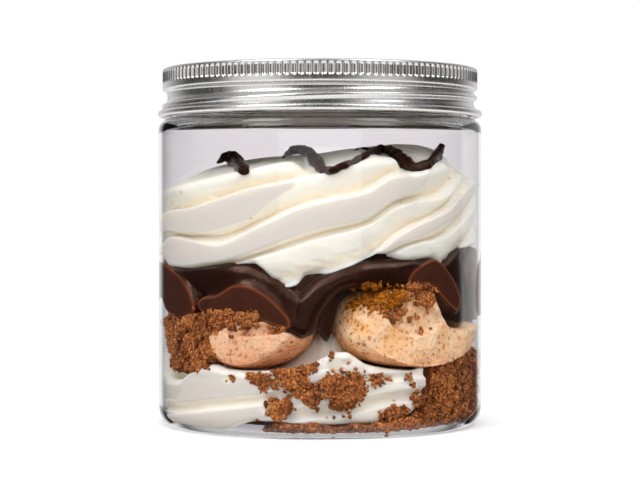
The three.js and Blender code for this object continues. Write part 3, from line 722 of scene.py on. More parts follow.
def lid_material(settings):
    """Satin aluminium with a fine slanting grain, brownish inside the jar, over a pale lining."""
    material, nodes, shader = new_material("brushed_aluminium")
    inside, lining = nodes.attribute("inside"), nodes.attribute("lining")
    grain = nodes.noise(0.00022, 3.0, stretch=(1, 1, 0.1), turn=(0, math.radians(38), 0))
    cloud = nodes.noise(0.004, 2.0, stretch=(1, 1, 1.6))
    tone = nodes.plus(nodes.times(grain, 0.5), nodes.times(cloud, 0.5))
    bare = nodes.mix(tone, toned(settings.colour, 0.8), settings.colour)
    bare = nodes.mix(inside, bare, linear(128, 116, 106))
    smoothest, roughest = settings.roughness - 0.05, settings.roughness + 0.09
    nodes.feed(shader["Base Color"], nodes.mix(lining, bare, linear(190, 184, 176)))
    nodes.feed(shader["Metallic"], nodes.minus(1.0, lining))
    nodes.feed(shader["Roughness"], nodes.ramp(tone, 0.2, 0.8, smoothest, roughest))
    nodes.feed(shader["Normal"], nodes.bump(grain, 0.00003, 0.6))
    return material


def cream_material(settings):
    """Whipped cream with air pits: cool white where pressed on the wall, warm elsewhere, with a tan painted
    shade in the creases, on the back of the mound and inside the pits.
    """
    material, nodes, shader = new_material("whipped_cream", {
        "Subsurface Weight": settings.subsurface, "Subsurface Radius": (1.0, 0.86, 0.66),
        "Subsurface Scale": 0.004, "Specular IOR Level": 0.35,
    })
    pressed, painted_shade = nodes.attribute("pressed"), nodes.attribute("painted_shade")
    warmer = tuple(c * share for c, share in zip(settings.colour, (0.99, 0.965, 0.92)))
    colour = nodes.mix(nodes.noise(0.006, 4.0), settings.colour, warmer)
    # Painted shade: a tan in the creases and over the back of the mound.
    colour = nodes.mix(painted_shade, colour, settings.painted_shade_colour)
    colour = nodes.mix(pressed, colour, settings.pressed_colour)
    # Air pits away from the pressed places, with a golden painted shade inside them.
    pits = nodes.ramp(nodes.cells(1 / 0.0072)["Distance"], 0.085, 0.04)
    pits = nodes.times(pits, nodes.minus(1.0, pressed))
    nodes.feed(shader["Base Color"], nodes.mix(nodes.times(pits, 0.75), colour, linear(212, 168, 92)))
    nodes.feed(shader["Roughness"], nodes.ramp(pressed, 0, 1, 0.48, 0.3))
    fine = nodes.minus(nodes.noise(0.0011, 4.0), nodes.times(pits, 0.8))
    open_share = nodes.minus(1.0, nodes.times(pressed, 0.9))
    nodes.feed(shader["Normal"], nodes.bump(nodes.times(fine, open_share), 0.00018, 0.6))
    return material


def whipped_cream(settings):
    """The one material of both creams."""
    return bpy.data.materials.get("whipped_cream") or cream_material(settings)


def chocolate_material(settings):
    """Glossy dark chocolate, flat brown with a thin reddish rim where it is pressed on the wall."""
    material, nodes, shader = new_material("chocolate", {
        "Specular IOR Level": 0.42, "Specular Tint": (1.0, 0.62, 0.45),
    })
    pressed, rim = nodes.attribute("pressed"), nodes.attribute("rim")
    speck = nodes.ramp(nodes.cells(1 / 0.0009)["Distance"], 0.16, 0.08)
    open_colour = nodes.mix(nodes.times(speck, 0.12), settings.colour, linear(96, 60, 50))
    cloud = nodes.ramp(nodes.noise(0.003, 3.0), 0.3, 0.7)
    flat = nodes.mix(cloud, settings.pressed_colour, toned(settings.pressed_colour, 0.8))
    colour = nodes.mix(pressed, open_colour, flat)
    nodes.feed(shader["Base Color"], nodes.mix(rim, colour, settings.rim_colour))
    nodes.feed(shader["Roughness"], nodes.ramp(pressed, 0, 1, settings.roughness, 0.8))
    fine = nodes.times(nodes.noise(0.0016, 3.0), nodes.minus(1.0, pressed))
    nodes.feed(shader["Normal"], nodes.bump(fine, 0.00012, 0.5))
    return material


def drizzle_material(settings):
    """Set chocolate, mottled and a little lumpy."""
    material, nodes, shader = new_material("drizzle", {
        "Roughness": 0.3, "Specular IOR Level": 0.35, "Specular Tint": (1.0, 0.72, 0.56),
    })
    mottle = nodes.noise(0.0012, 4.0)
    dark, light = toned(settings.colour, 0.7), toned(settings.colour, 1.9)
    nodes.feed(shader["Base Color"], nodes.mix(nodes.ramp(mottle, 0.35, 0.75), dark, light))
    nodes.feed(shader["Normal"], nodes.bump(mottle, 0.0004, 0.7))
    return material


def sponge_material(name, colour, paler, lower_edge, pore_shade_colour):
    """Baked sponge with open pores that hold painted shade, browner towards its lower edge, paler and powdery
    on the wall.
    """
    material, nodes, shader = new_material(name, {"Roughness": 0.9, "Specular IOR Level": 0.2})
    low, pressed = nodes.attribute("low"), nodes.attribute("pressed")
    large, small = (
        nodes.add("ShaderNodeGroup", {"node_tree": pore_group()}, {"Density": 1 / size, "Widest": widest})
        for size, widest in ((0.0013, 0.42), (0.0007, 0.5))
    )
    pores = nodes.larger(large.outputs["Pores"], nodes.times(small.outputs["Pores"], 0.6))
    pores = nodes.times(pores, nodes.minus(1.0, nodes.times(pressed, 0.6)))
    base = nodes.mix(nodes.ramp(nodes.noise(0.0042, 5.0), 0.35, 0.68), colour, paler)
    # Darker and browner towards the lower edge.
    base = nodes.mix(nodes.times(low, 0.9), base, lower_edge)
    base = nodes.mix(nodes.times(pressed, 0.4), base, linear(250, 222, 188))
    # Painted shade inside the pores.
    nodes.feed(shader["Base Color"], nodes.mix(nodes.times(pores, 0.9), base, pore_shade_colour))
    crumb = nodes.noise(0.0006, 5.0, roughness=0.75)
    nodes.feed(shader["Normal"], nodes.bump(nodes.minus(nodes.times(crumb, 0.5), pores), 0.0004, 0.8))
    return material


def crumb_material(name, dark, light):
    """Toasted crumbs, each of its own tone, rough, with painted shade in the gaps between them and in the
    dips of their fine grain.
    """
    material, nodes, shader = new_material(name, {"Roughness": 0.8, "Specular IOR Level": 0.08})
    tone, shade = nodes.attribute("tone"), nodes.attribute("shade")
    grain = nodes.noise(0.0005, 4.0, roughness=0.75)
    base = nodes.mix(tone, dark, light)
    # Painted shade in the dips of the fine grain, then in the gaps between crumbs.
    base = nodes.mix(nodes.ramp(grain, 0.42, 0.56), nodes.mix(0.72, base, linear(66, 28, 13)), base)
    nodes.feed(shader["Base Color"], nodes.mix(nodes.times(shade, 0.85), base, linear(70, 32, 15)))
    nodes.feed(shader["Normal"], nodes.bump(grain, 0.0004, 0.9))
    return material


# ---- Jar and lid -----------------------------------------------------------------------------
def jar_profile():
    """Skin from the push-up to the neck's top and down inside to the floor, with close rings at each bend."""
    shoulder_end, neck_end = SHOULDER_START - WALL, NECK_START - WALL
    return [
        (MIDDLE_RING, PUSH_UP), (PUSH_UP_RADIUS, PUSH_UP), (PUSH_UP_RADIUS + 0.8, PUSH_UP - 0.07),
        (STANDING_RADIUS - 0.6, 0.04), (STANDING_RADIUS, 0), (HEEL_RADIUS - BEND_SUPPORT, 0),
        *eased_corner((HEEL_RADIUS, 0), (BODY_RADIUS, HEEL_HEIGHT), True),
        (BODY_RADIUS, HEEL_HEIGHT + BEND_SUPPORT), (BODY_RADIUS, 20), (BODY_RADIUS, 60),
        (BODY_RADIUS, SHOULDER_START - BEND_SUPPORT),
        *eased_corner((BODY_RADIUS, SHOULDER_START), (NECK_RADIUS, NECK_START), False),
        (NECK_RADIUS, NECK_START + NECK_BEND_SUPPORT), (NECK_RADIUS, NECK_START + 0.3),
        (NECK_RADIUS, NECK_TOP - 0.3), (NECK_RADIUS - 0.3, NECK_TOP),
        (NECK_INNER_RADIUS + 0.3, NECK_TOP), (NECK_INNER_RADIUS, NECK_TOP - 0.3),
        (NECK_INNER_RADIUS, neck_end + 0.2), (NECK_INNER_RADIUS, neck_end + NECK_BEND_SUPPORT),
        *eased_corner((NECK_INNER_RADIUS, neck_end), (INNER_RADIUS, shoulder_end), True),
        (INNER_RADIUS, shoulder_end - BEND_SUPPORT), (INNER_RADIUS, 60), (INNER_RADIUS, 20),
        (INNER_RADIUS, HEEL_INNER_HEIGHT + BEND_SUPPORT),
        *eased_corner((INNER_RADIUS, HEEL_INNER_HEIGHT), (HEEL_INNER_RADIUS, FLOOR_TOP), False),
        (HEEL_INNER_RADIUS - BEND_SUPPORT, FLOOR_TOP), (35, FLOOR_TOP), (MIDDLE_RING, FLOOR_TOP),
    ]


def skirt_radius(bearing, height):
    """Outer radius of the lid's skirt, with the thread's bead climbing once round from left to right."""
    lower = smooth(height, CURL_HEIGHT + CURL_RADIUS, CURL_HEIGHT + 3)
    upper = smooth(height, BAND_START - 1.2, BAND_START)
    plain = SKIRT_FOOT_RADIUS + (WAIST_RADIUS - SKIRT_FOOT_RADIUS) * lower
    plain = plain + (BAND_RADIUS - plain) * upper
    crest = THREAD_HEIGHT_IN_FRONT + THREAD_PITCH * bearing / 360
    turns = (height - crest - turn for turn in (-THREAD_PITCH, 0, THREAD_PITCH))
    bead = sum(np.exp(-((from_crest / THREAD_HALF_WIDTH) ** 2)) for from_crest in turns)
    fading = np.minimum(1 - upper, smooth(height, SKIRT_START - 0.3, SKIRT_START + 0.5))
    return np.minimum(plain + THREAD_BULGE * bead * fading, BAND_RADIUS + 0.15)


def lid_profile():
    """Outer skin from the ceiling down inside, round the rolled edge and up over the skirt to the panel."""
    curl = arc(CURL_RING_RADIUS, CURL_HEIGHT, CURL_RADIUS, -150, 125, 14)
    skirt = [(float(skirt_radius(0, z)), z) for z in np.linspace(SKIRT_START, BAND_START, 26)]
    band = (BAND_START + 0.6, *np.linspace(KNURL_LOW - 0.12, KNURL_HIGH + 0.12, 19))
    corner = arc(BAND_RADIUS - TOP_CORNER, LID_TOP - TOP_CORNER, TOP_CORNER, 0, 90, 6)
    panel_top = LID_TOP - PANEL_DEPTH
    return [
        (LID_MIDDLE_RING, LID_CEILING), (LID_INNER_RADIUS - 0.4, LID_CEILING),
        (LID_INNER_RADIUS, LID_CEILING - 0.4), (LID_INNER_RADIUS, CURL_HEIGHT),
        *curl, *skirt, *((BAND_RADIUS, height) for height in band), *corner,
        (PANEL_RADIUS + 1, LID_TOP), (PANEL_RADIUS + 0.6, LID_TOP - 0.04), (PANEL_RADIUS, panel_top),
        (PANEL_RADIUS - 0.6, panel_top), (20, panel_top), (LID_MIDDLE_RING, panel_top),
    ]


def shape_lid(lid, settings):
    """Moves the turned lid's points to the thread's bead and presses the knurls in."""
    points = np.empty(len(lid.data.vertices) * 3)
    lid.data.vertices.foreach_get("co", points)
    points = points.reshape(-1, 3) / MM
    radius, height = np.hypot(points[:, 0], points[:, 1]), points[:, 2]
    bearing = np.degrees(np.arctan2(points[:, 0], -points[:, 1]))
    outer = radius > LID_INNER_RADIUS + 0.3
    skirt = outer & (height > SKIRT_START - 0.05) & (height < BAND_START + 0.01)
    goal = np.where(skirt, skirt_radius(bearing, height), radius)

    pitch = 2 * math.pi * BAND_RADIUS / settings.knurls
    slot_end = KNURL_SLOT * pitch
    across = np.abs((bearing / 360 * settings.knurls) % 1 - 0.5) * pitch
    middle, half_height = (KNURL_LOW + KNURL_HIGH) / 2, (KNURL_HIGH - KNURL_LOW) / 2
    from_height = np.abs(height - middle)
    knurled = outer & (from_height < half_height + 0.2) & (radius > BAND_RADIUS - 0.01)
    beyond = np.maximum(from_height - half_height + slot_end, 0)
    from_middle = np.hypot(across, beyond) / slot_end
    goal = np.where(knurled, goal - settings.knurl_depth * (1 - smooth(from_middle, 0.42, 0.98)), goal)
    points[:, :2] *= (goal / np.maximum(radius, 1e-6))[:, None]
    lid.data.vertices.foreach_set("co", (points * MM).ravel())

    at_ceiling = np.abs(height - LID_CEILING) < 0.2
    wall = (np.abs(radius - LID_INNER_RADIUS + 0.2) < 0.25) & (height < LID_CEILING - 0.1)
    set_values(lid.data, {"lining": at_ceiling & (radius < LID_INNER_RADIUS - 0.2), "inside": wall})
    lid.data.update()


# ---- The upper cream -------------------------------------------------------------------------
def ridge_line(number, bearing):
    """Height of a ridge's upper edge at a bearing."""
    front = RIDGE_DRIFT[min(2, max(-3, number))]
    drift = curve_through((*EVEN_DRIFT, *front, *EVEN_DRIFT_RIGHT), bearing)
    return RIDGE_MIDDLE + RIDGE_RISE * bearing + RIDGE_STEP * number + drift


def ridge_place(bearing, height):
    """For each place: number of the ridge it is on, share of the way down that ridge, and its height."""
    numbers = np.arange(-9, 10)
    lines = np.stack([ridge_line(n, bearing) for n in numbers])
    for i in range(1, len(lines)):
        lines[i] = np.maximum(lines[i], lines[i - 1] + 1.6)
    over = np.clip((lines < height[None]).sum(0), 1, len(numbers) - 1)
    upper = np.take_along_axis(lines, over[None], 0)[0]
    lower = np.take_along_axis(lines, over[None] - 1, 0)[0]
    share = np.clip((upper - height) / (upper - lower), 0, 1)
    return numbers[over], share, upper - lower


def pressed_share(number, bearing, points, step):
    """Share of a ridge, from its upper edge down, that is pressed on the wall."""
    width = 3.4 + 2.6 * waves(points * (1, 1, 0.4), 16, seed=5)
    drawn = np.zeros(width.shape)
    for n, outline in PRESSED_WIDTH.items():
        drawn = np.where(number == n, curve_through(outline, bearing), drawn)
    front = 1 - smooth(np.abs(bearing), 80, 94)
    return np.clip((width + (drawn - width) * front) / step, 0, 0.86)


def ridge_depth(share, flat, valley):
    """How deep a ridge lies behind the wall: flat, its underside to the valley, then the next one's top."""
    flat = np.minimum(flat, valley - 0.12)
    fall = np.clip((share - flat) / (valley - flat), 0, 1)
    under = 0.35 * fall + 0.65 * fall**1.8
    climb = np.clip((share - valley) / (1 - valley), 0, 1)
    over = np.sqrt(np.clip(1 - climb**1.6, 0, 1))
    return CREASE_DEPTH * np.where(share < valley, under, over), fall * (1 - climb)


def mound_height(points, bearing, share_out):
    """Height of the mound from its rim, where share_out is 1, to the middle, where it is 0."""
    top, rim = curve_through(MOUND_CREST, points[..., 0]), around(SWIRL_RIM, bearing)
    steepness = 2.8 + 4.4 * smooth(np.abs(bearing), 40, 75)
    return rim + (top - rim) * (1 - share_out**steepness)


def swirl_side(bearing, hem, rim):
    """The swirl's ridges at the wall: their points, with how deep and how pressed each is, and how much
    painted shade each gets in the creases.
    """
    height = hem + (rim - hem) * np.linspace(0, 1, SWIRL_ROWS)[:, None]
    across = np.broadcast_to(bearing, height.shape)
    plain = at(INNER_RADIUS, across, height)
    number, share, step = ridge_place(across, height)
    flat = pressed_share(number, across, plain, step)
    left = smooth(-across, 35, 60) * (across > -100)
    depth, fall = ridge_depth(share, flat, 0.84 + 0.11 * left + 0.04 * waves(plain, 14, seed=17))
    depth = depth + 0.55 * (1 - smooth(flat, 0.02, 0.2)) * (1 - fall)
    wrinkle = 0.18 * waves(plain * (1, 1, 2.2), 7, seed=11) + 0.05 * waves(plain * (1, 1, 3), 2.4, seed=12)
    wrinkle = wrinkle + 0.16 * smooth(fall, 0.4, 0.9) * waves(plain * (1, 1, 3.4), 2.0, seed=13, count=30)
    depth = depth + np.where(depth > 0.05, wrinkle * np.clip(depth, 0, 1), 0)
    depth = depth + rounded_off(height - hem, 1.7, 2.0) + rounded_off(rim - height, 2.6, 2.4)
    side = at(PRESSED_RADIUS - np.maximum(depth, 0), across, height)
    return side, depth, 1 - smooth(depth, 0.04, 0.22), smooth(fall, 0.5, 1.0)


def swirl_mound(bearing, rim, edge):
    """The swirl's top, turned on from its ridges: its points, and the painted shade of each, in the creases
    and over the mound's back half.
    """
    shares = inner_rings(MOUND_ROWS)
    flat = at(edge * shares, bearing, 0)
    phase = (ridge_line(0, bearing) - rim) / RIDGE_STEP + 1.1 * (1 - shares) ** 1.3
    dip, fall = ridge_depth(phase % 1, 0.15, 0.8)
    dip = 0.55 * dip * np.sin(shares * math.pi / 2) * smooth(1 - shares, 0, 0.12)
    swell = 0.5 * waves(flat, 9, seed=31) * (1 - shares)
    mound = at(edge * shares, bearing, mound_height(flat, bearing, shares) - dip + swell)
    # Painted shade in the creases, and over the back half, which lies in the lid's shade.
    return mound, np.maximum(0.6 * smooth(fall, 0.5, 1), 0.8 * smooth(mound[..., 1], -10, 6))


def build_upper_cream(material):
    bearing = all_round(SWIRL_COLUMNS)
    hem, rim = around(SWIRL_HEM, bearing), around(SWIRL_RIM, bearing)
    side, depth, pressed, painted_shade = swirl_side(bearing, hem, rim)
    mound, mound_painted_shade = swirl_mound(bearing, rim, PRESSED_RADIUS - depth[-1])
    below = cover(PRESSED_RADIUS - depth[0], bearing, hem, SWIRL_UNDERSIDE, inner_rings(7), 0, 0.3)[::-1]
    parts = below, side, mound
    bottom, top = on_axis(SWIRL_UNDERSIDE), on_axis(mound[-1, :, 2].mean())
    points, faces = ring_skin(np.concatenate(parts), bottom, top)
    values = {
        "pressed": ring_values(parts, (None, pressed, None)),
        # Painted shade in the creases and over the mound's back.
        "painted_shade": ring_values(parts, (None, painted_shade, mound_painted_shade)),
    }
    return new_piece("upper_cream_swirl", points, faces, ["upper_cream"], material, values)


# ---- The drizzle -----------------------------------------------------------------------------
def sight(column, row):
    """Direction from the camera through a pixel of the frame."""
    across = (column - FRAME_WIDTH / 2) / FOCAL_PIXELS
    up = (FRAME_HEIGHT / 2 - row) / FOCAL_PIXELS
    cos, sin = math.cos(CAMERA_PITCH), math.sin(CAMERA_PITCH)
    return Vector((across, cos + up * sin, up * cos - sin)).normalized()


def tree_of(piece):
    """A piece's surface, for rays to meet."""
    drawn = bmesh.new()
    drawn.from_mesh(piece.data)
    tree = BVHTree.FromBMesh(drawn)
    drawn.free()
    return tree


def evened(line):
    """A line with each inner point drawn towards the two beside it."""
    line[1:-1] = (line[:-2] + 2 * line[1:-1] + line[2:]) / 4
    return line


def laid_path(tree, pixels, spacing):
    """A strand's middle line in millimetres and its half widths, on the cream where it is seen."""
    seen = np.array(pixels, float)
    along = np.concatenate([[0], np.cumsum(np.hypot(*np.diff(seen[:, :2], axis=0).T))])
    even = np.arange(0, along[-1], spacing)
    columns, rows, halves = (hermite(along, ys, np.gradient(ys, along), even) for ys in seen.T)
    start = Vector(CAMERA_PLACE) * MM
    depths = np.full(len(even), np.nan)
    for i, (column, row) in enumerate(zip(columns, rows)):
        for lower in np.arange(0.5, 14, 0.5):
            hit = tree.ray_cast(start, sight(column, row + lower))[0]
            if hit is not None and hit.z > 0.056 and hit.y < 0.01:
                depths[i] = hit.y
                break
    known = np.flatnonzero(~np.isnan(depths))
    depths = np.interp(np.arange(len(depths)), known, depths[known])
    for _ in range(30):
        depths = evened(depths)
    path = []
    for column, row, depth in zip(columns, rows, depths):
        direction = sight(column, row)
        distance = (depth - DRIZZLE_LIFT * MM - start.y) / direction.y
        path.append(np.array(start + direction * distance) / MM)
    return np.array(path), halves


def tube(path, radii, sides, seed):
    """Points and faces of an uneven strand along a path, closed at both ends."""
    ahead = np.gradient(path, axis=0)
    ahead /= np.linalg.norm(ahead, axis=1, keepdims=True)
    side = np.cross(ahead, (0.12, -1, 0.25))
    side /= np.linalg.norm(side, axis=1, keepdims=True)
    turns = np.linspace(0, 2 * math.pi, sides, endpoint=False)[None, :, None]
    outward = side[:, None] * np.cos(turns) * 1.15 + np.cross(side, ahead)[:, None] * np.sin(turns)
    rings = path[:, None] + radii[:, None, None] * outward
    lumps = 1 + 0.15 * waves(rings, 1.0, seed=seed) + 0.1 * waves(rings, 4, seed=seed + 1)
    return ring_skin(path[:, None] + (rings - path[:, None]) * lumps[..., None], path[0], path[-1])


def build_drizzle(cream, material):
    """Strands of chocolate laid on the cream, thin at both ends."""
    tree = tree_of(cream)
    for i, pixels in enumerate(DRIZZLE_SEEN):
        path, halves = laid_path(tree, pixels, DRIZZLE_SPACING)
        path = evened(evened(path))
        thin = np.minimum(np.sin(np.linspace(0.2, math.pi - 0.2, len(path))) * 1.9, 1) ** 0.5
        points, faces = tube(path, halves * thin, DRIZZLE_SIDES, 50 + i)
        new_piece(f"drizzle_{i + 1}", points, faces, [], material)


# ---- The chocolate ---------------------------------------------------------------------------
def build_chocolate(material):
    """The layer between sponges and swirl: flat where pressed on the wall, with streams that stand out."""
    bearing = all_round(CHOCOLATE_COLUMNS)
    hem, top = around(CHOCOLATE_HEM, bearing), around(SWIRL_HEM, bearing) + 1.2
    rows = np.linspace(0, 1, CHOCOLATE_ROWS)[:, None]
    height = hem + (top - hem) * rows
    across = np.broadcast_to(bearing, height.shape)
    plain = at(INNER_RADIUS, across, height)
    distance = np.min([outline_distance(across, height, outline) for outline in PRESSED_CHOCOLATE], 0)
    streams = np.max([out * rope(across, height, path, width) for path, width, out in STREAMS], 0)
    gap = np.clip(3.4 + 0.5 * waves(plain * (1, 1, 0.6), 11, seed=71) - streams, 0.35, 4.5)
    depth = gap * (1 - np.exp(-((np.clip(distance, 0, None) / 1.1) ** 1.6)))
    depth = depth + rounded_off(height - hem, 2.4, 2.3) * (0.25 + 0.75 * smooth(distance, 0, 1.5))
    depth = depth + 1.4 * smooth(rows, 0.9, 1.0)
    side = at(PRESSED_RADIUS - depth, across, height)

    inward, underside = inner_rings(16), SWIRL_UNDERSIDE - 0.5
    below = cover(PRESSED_RADIUS - depth[0], bearing, hem, CHOCOLATE_FLOOR, inward, 0.02, 0.3)
    x, y, z = np.moveaxis(below, -1, 0)
    between_sponges = np.exp(-(((x - 1.4) / 2.6) ** 2)) * smooth(y, -36, -31) * (y < 22)
    z -= np.clip(z - 22.5, 0, None) * between_sponges
    above = cover(PRESSED_RADIUS - depth[-1], bearing, top, underside, inward, 0, 0.25)
    parts = below[::-1], side, above
    points, faces = ring_skin(np.concatenate(parts), on_axis(z[-1].mean()), on_axis(underside))
    values = {
        "pressed": ring_values(parts, (None, 1 - smooth(distance, -0.15, 0.2), None)),
        "rim": ring_values(parts, (None, np.exp(-(((distance + 0.05) / 0.26) ** 2)), None)),
    }
    return new_piece("chocolate_layer", points, faces, ["chocolate"], material, values)


# ---- The sponge fingers ----------------------------------------------------------------------
def finger_shape(size):
    """Points of a plump finger that lies front to back, its front end in close rings."""
    (x, z), half_width, half_height, tilt, (start, stop) = size

    def rounded(value):
        return np.sign(value) * np.abs(value) ** (2 / SPONGE_SQUARENESS)

    front = -np.arccos(np.linspace(0.02, 0.975, SPONGE_FRONT_RINGS) ** (SPONGE_END_SQUARENESS / 2))
    lengthwise = np.concatenate([front, np.linspace(front[-1], 1.56, SPONGE_BODY_RINGS)[1:]])[:, None]
    turn = -np.linspace(0, 2 * math.pi, SPONGE_SIDES, endpoint=False)[None]
    swell = np.cos(lengthwise) ** (2 / SPONGE_END_SQUARENESS)
    across = rounded(np.cos(turn)) * half_width * swell
    up = rounded(np.sin(turn)) * half_height * swell
    along = np.broadcast_to(rounded(np.sin(lengthwise)) * (stop - start) / 2, across.shape)
    cos, sin = math.cos(math.radians(tilt)), math.sin(math.radians(tilt))
    y = (start + stop) / 2
    return np.stack([x + across * cos - up * sin, y + along, z + across * sin + up * cos], -1)


def build_sponge(node, size, material, seed):
    """A sponge finger, uneven and pitted, flattened where it meets the wall."""
    (x, z), _, half_height, _, ends = size
    points = finger_shape(size)
    outward = points - np.array([x, sum(ends) / 2, z])
    outward /= np.linalg.norm(outward, axis=-1, keepdims=True)
    nearest, own = grains(points, 1.5, seed)
    pits = 0.35 * (1 - smooth(nearest, 0.1, 0.32)) * (own > 0.55)
    uneven = 0.5 * waves(points, 9, seed=seed) + 0.16 * waves(points, 2.6, seed=seed + 1)
    uneven = uneven + 0.05 * waves(points, 0.9, seed=seed + 2, count=30)
    points = points + outward * (uneven - pits)[..., None]

    radius, height = np.hypot(points[..., 0], points[..., 1]), points[..., 2]
    bearing = np.degrees(np.arctan2(points[..., 0], -points[..., 1]))
    dull = smooth(waves(points, 6, seed=seed + 3), -0.2, 0.8)
    room = 1.3 * in_clusters(bearing, height, SPONGE_CLUSTERS + GOLDEN_CLUSTERS) * (points[..., 1] < 0)
    room = np.maximum(room, 5 * smooth(height - around(CHOCOLATE_HEM, bearing), -0.6, 0.5))
    powder = 0.35 * dull + 0.12 * np.clip(waves(points, 1.6, seed=seed + 4), 0, 1)
    limit = PRESSED_RADIUS - room - powder - pits
    low = smooth(z - height, 0.25 * half_height, 1.05 * half_height)
    pressed = smooth(radius - limit, -0.25, 0.1) * (1 - 0.5 * dull)
    values = {"low": ring_values((points,), (low,)), "pressed": ring_values((points,), (pressed,), start=1)}
    points[..., :2] *= (np.minimum(radius, limit) / radius)[..., None]
    tips = [np.array([x, points[end, :, 1].mean(), z]) for end in (0, -1)]
    mesh_points, faces = ring_skin(points, *tips)
    return new_piece(node + "_finger", mesh_points, faces, [node], material, values)


# ---- The lower cream -------------------------------------------------------------------------
def build_lower_cream(material):
    """Soft folds from the floor up, hollowed for the crumb bank and humped between the sponges."""
    bearing = all_round(LOWER_COLUMNS)
    top, bottom = around(LOWER_TOP, bearing), around(LOWER_BOTTOM, bearing)
    height = bottom + (top - bottom) * np.linspace(0, 1, LOWER_ROWS)[:, None]
    across = np.broadcast_to(bearing, height.shape)
    plain = at(INNER_RADIUS, across, height)
    folds = np.max([deep * rope(across, height, path, width) ** 2 for path, width, deep in LOWER_FOLDS], 0)
    left = smooth(across, -86, -80) * (1 - smooth(across, -34, -14))
    gap = np.clip(0.9 + 1.3 * waves(plain * (1, 1, 1.8), 13, seed=41), 0, 2.6) * (1 - 0.92 * left)
    depth = np.maximum(gap + folds, 1.15 * in_clusters(across, height, CREAM_CLUSTERS))
    bank = smooth(across, 38, 44) * (1 - smooth(across, 84, 100)) * (1 - smooth(height, 15.5, 18))
    depth = depth + 5 * bank + 0.12 * waves(plain * (1, 1, 2), 3, seed=43) * np.clip(depth, 0, 1)
    depth = np.maximum(depth, 0) + rounded_off(top - height, 2.0, 2.0)
    depth = depth + rounded_off(height - bottom, 1.6, 1.2)
    side = at(inside_wall(height) - depth, across, height)

    inward = inner_rings(28)
    above = at((PRESSED_RADIUS - depth[-1]) * inward, bearing, 0.0)
    between_sponges = np.exp(-(((above[..., 0] - 1.2) / 6.5) ** 2)) * smooth(-above[..., 1], 2, 14)
    rise = smooth(1 - inward, 0.12, 0.34)
    dip = 2.4 * smooth(1 - inward, 0, 0.1) * (1 - rise)
    above[..., 2] = top - dip + (15.6 + 9.2 * between_sponges - top) * rise
    below = cover(inside_wall(bottom) - depth[0] - 1, bearing, bottom, 3.0, inward, 0, 0.2)[::-1]
    parts = below, side, above
    points, faces = ring_skin(np.concatenate(parts), on_axis(3.0), on_axis(above[-1, :, 2].mean()))
    values = {
        "pressed": ring_values(parts, (None, 1 - smooth(depth, 0.05, 0.35), None)),
        # Painted shade in the deeper folds.
        "painted_shade": ring_values(parts, (None, 0.4 * smooth(folds, 0.4, 1.5), None)),
    }
    return new_piece("lower_cream_layer", points, faces, ["lower_cream"], material, values)


# ---- The crumbs ------------------------------------------------------------------------------
def crumb_relief(points, seed):
    """How deep a crumbly surface lies below its highest grains, with each place's tone and shade."""
    coarse, own_coarse = grains(points, 1.9, seed)
    fine, own_fine = grains(points, 0.95, seed + 1)
    deep = np.clip(1.1 * coarse**2 + 0.75 * fine**2 + 0.6 * own_coarse + 0.3 * own_fine - 0.2, 0, 2.6)
    return deep, 0.4 * own_coarse + 0.6 * own_fine, smooth(deep, 0.35, 1.5)


def build_crumb_bed(material):
    """Crumbs on the floor, banked on the wall at the right and set back behind the cream at the left."""
    bearing, floor = all_round(BED_COLUMNS), FLOOR_TOP + 0.06
    top = around(BED_TOP, bearing)
    top = top + np.where(top > 2.4, 0.45 * waves(at(INNER_RADIUS, bearing, top), 2.6, seed=61), 0)
    height = floor + (np.maximum(top, floor + 0.1) - floor) * np.linspace(0, 1, BED_ROWS)[:, None]
    across = np.broadcast_to(bearing, height.shape)
    recess = 7 * smooth(across, -76, -70) * (1 - smooth(across, -28, -21))
    deep, tone, shade = crumb_relief(at(INNER_RADIUS, across, height), 62)
    side = at(inside_wall(height) - recess - deep - rounded_off(top - height, 1.3, 1.4), across, height)

    lower_radius, upper_radius = (np.hypot(side[row, :, 0], side[row, :, 1]) for row in (0, -1))
    inward = inner_rings(40, 0.7)
    above = cover(upper_radius, bearing, top, 3.0, inward, 0.04, 0.36)
    above_deep, above_tone, above_shade = crumb_relief(above, 62)
    above[..., 2] -= np.where(above[..., 2] > 3.2, above_deep * smooth(1 - inward, 0, 0.04), 0)
    below = at(lower_radius * np.array([[0.3], [0.7]]), bearing, floor)
    parts = below, side, above
    points, faces = ring_skin(np.concatenate(parts), on_axis(floor), on_axis(above[-1, :, 2].mean()))
    values = {
        "tone": ring_values(parts, (None, tone, above_tone)),
        "shade": ring_values(parts, (None, shade, above_shade)),
    }
    return new_piece("crumb_bed_mass", points, faces, ["crumb_bed"], material, values)


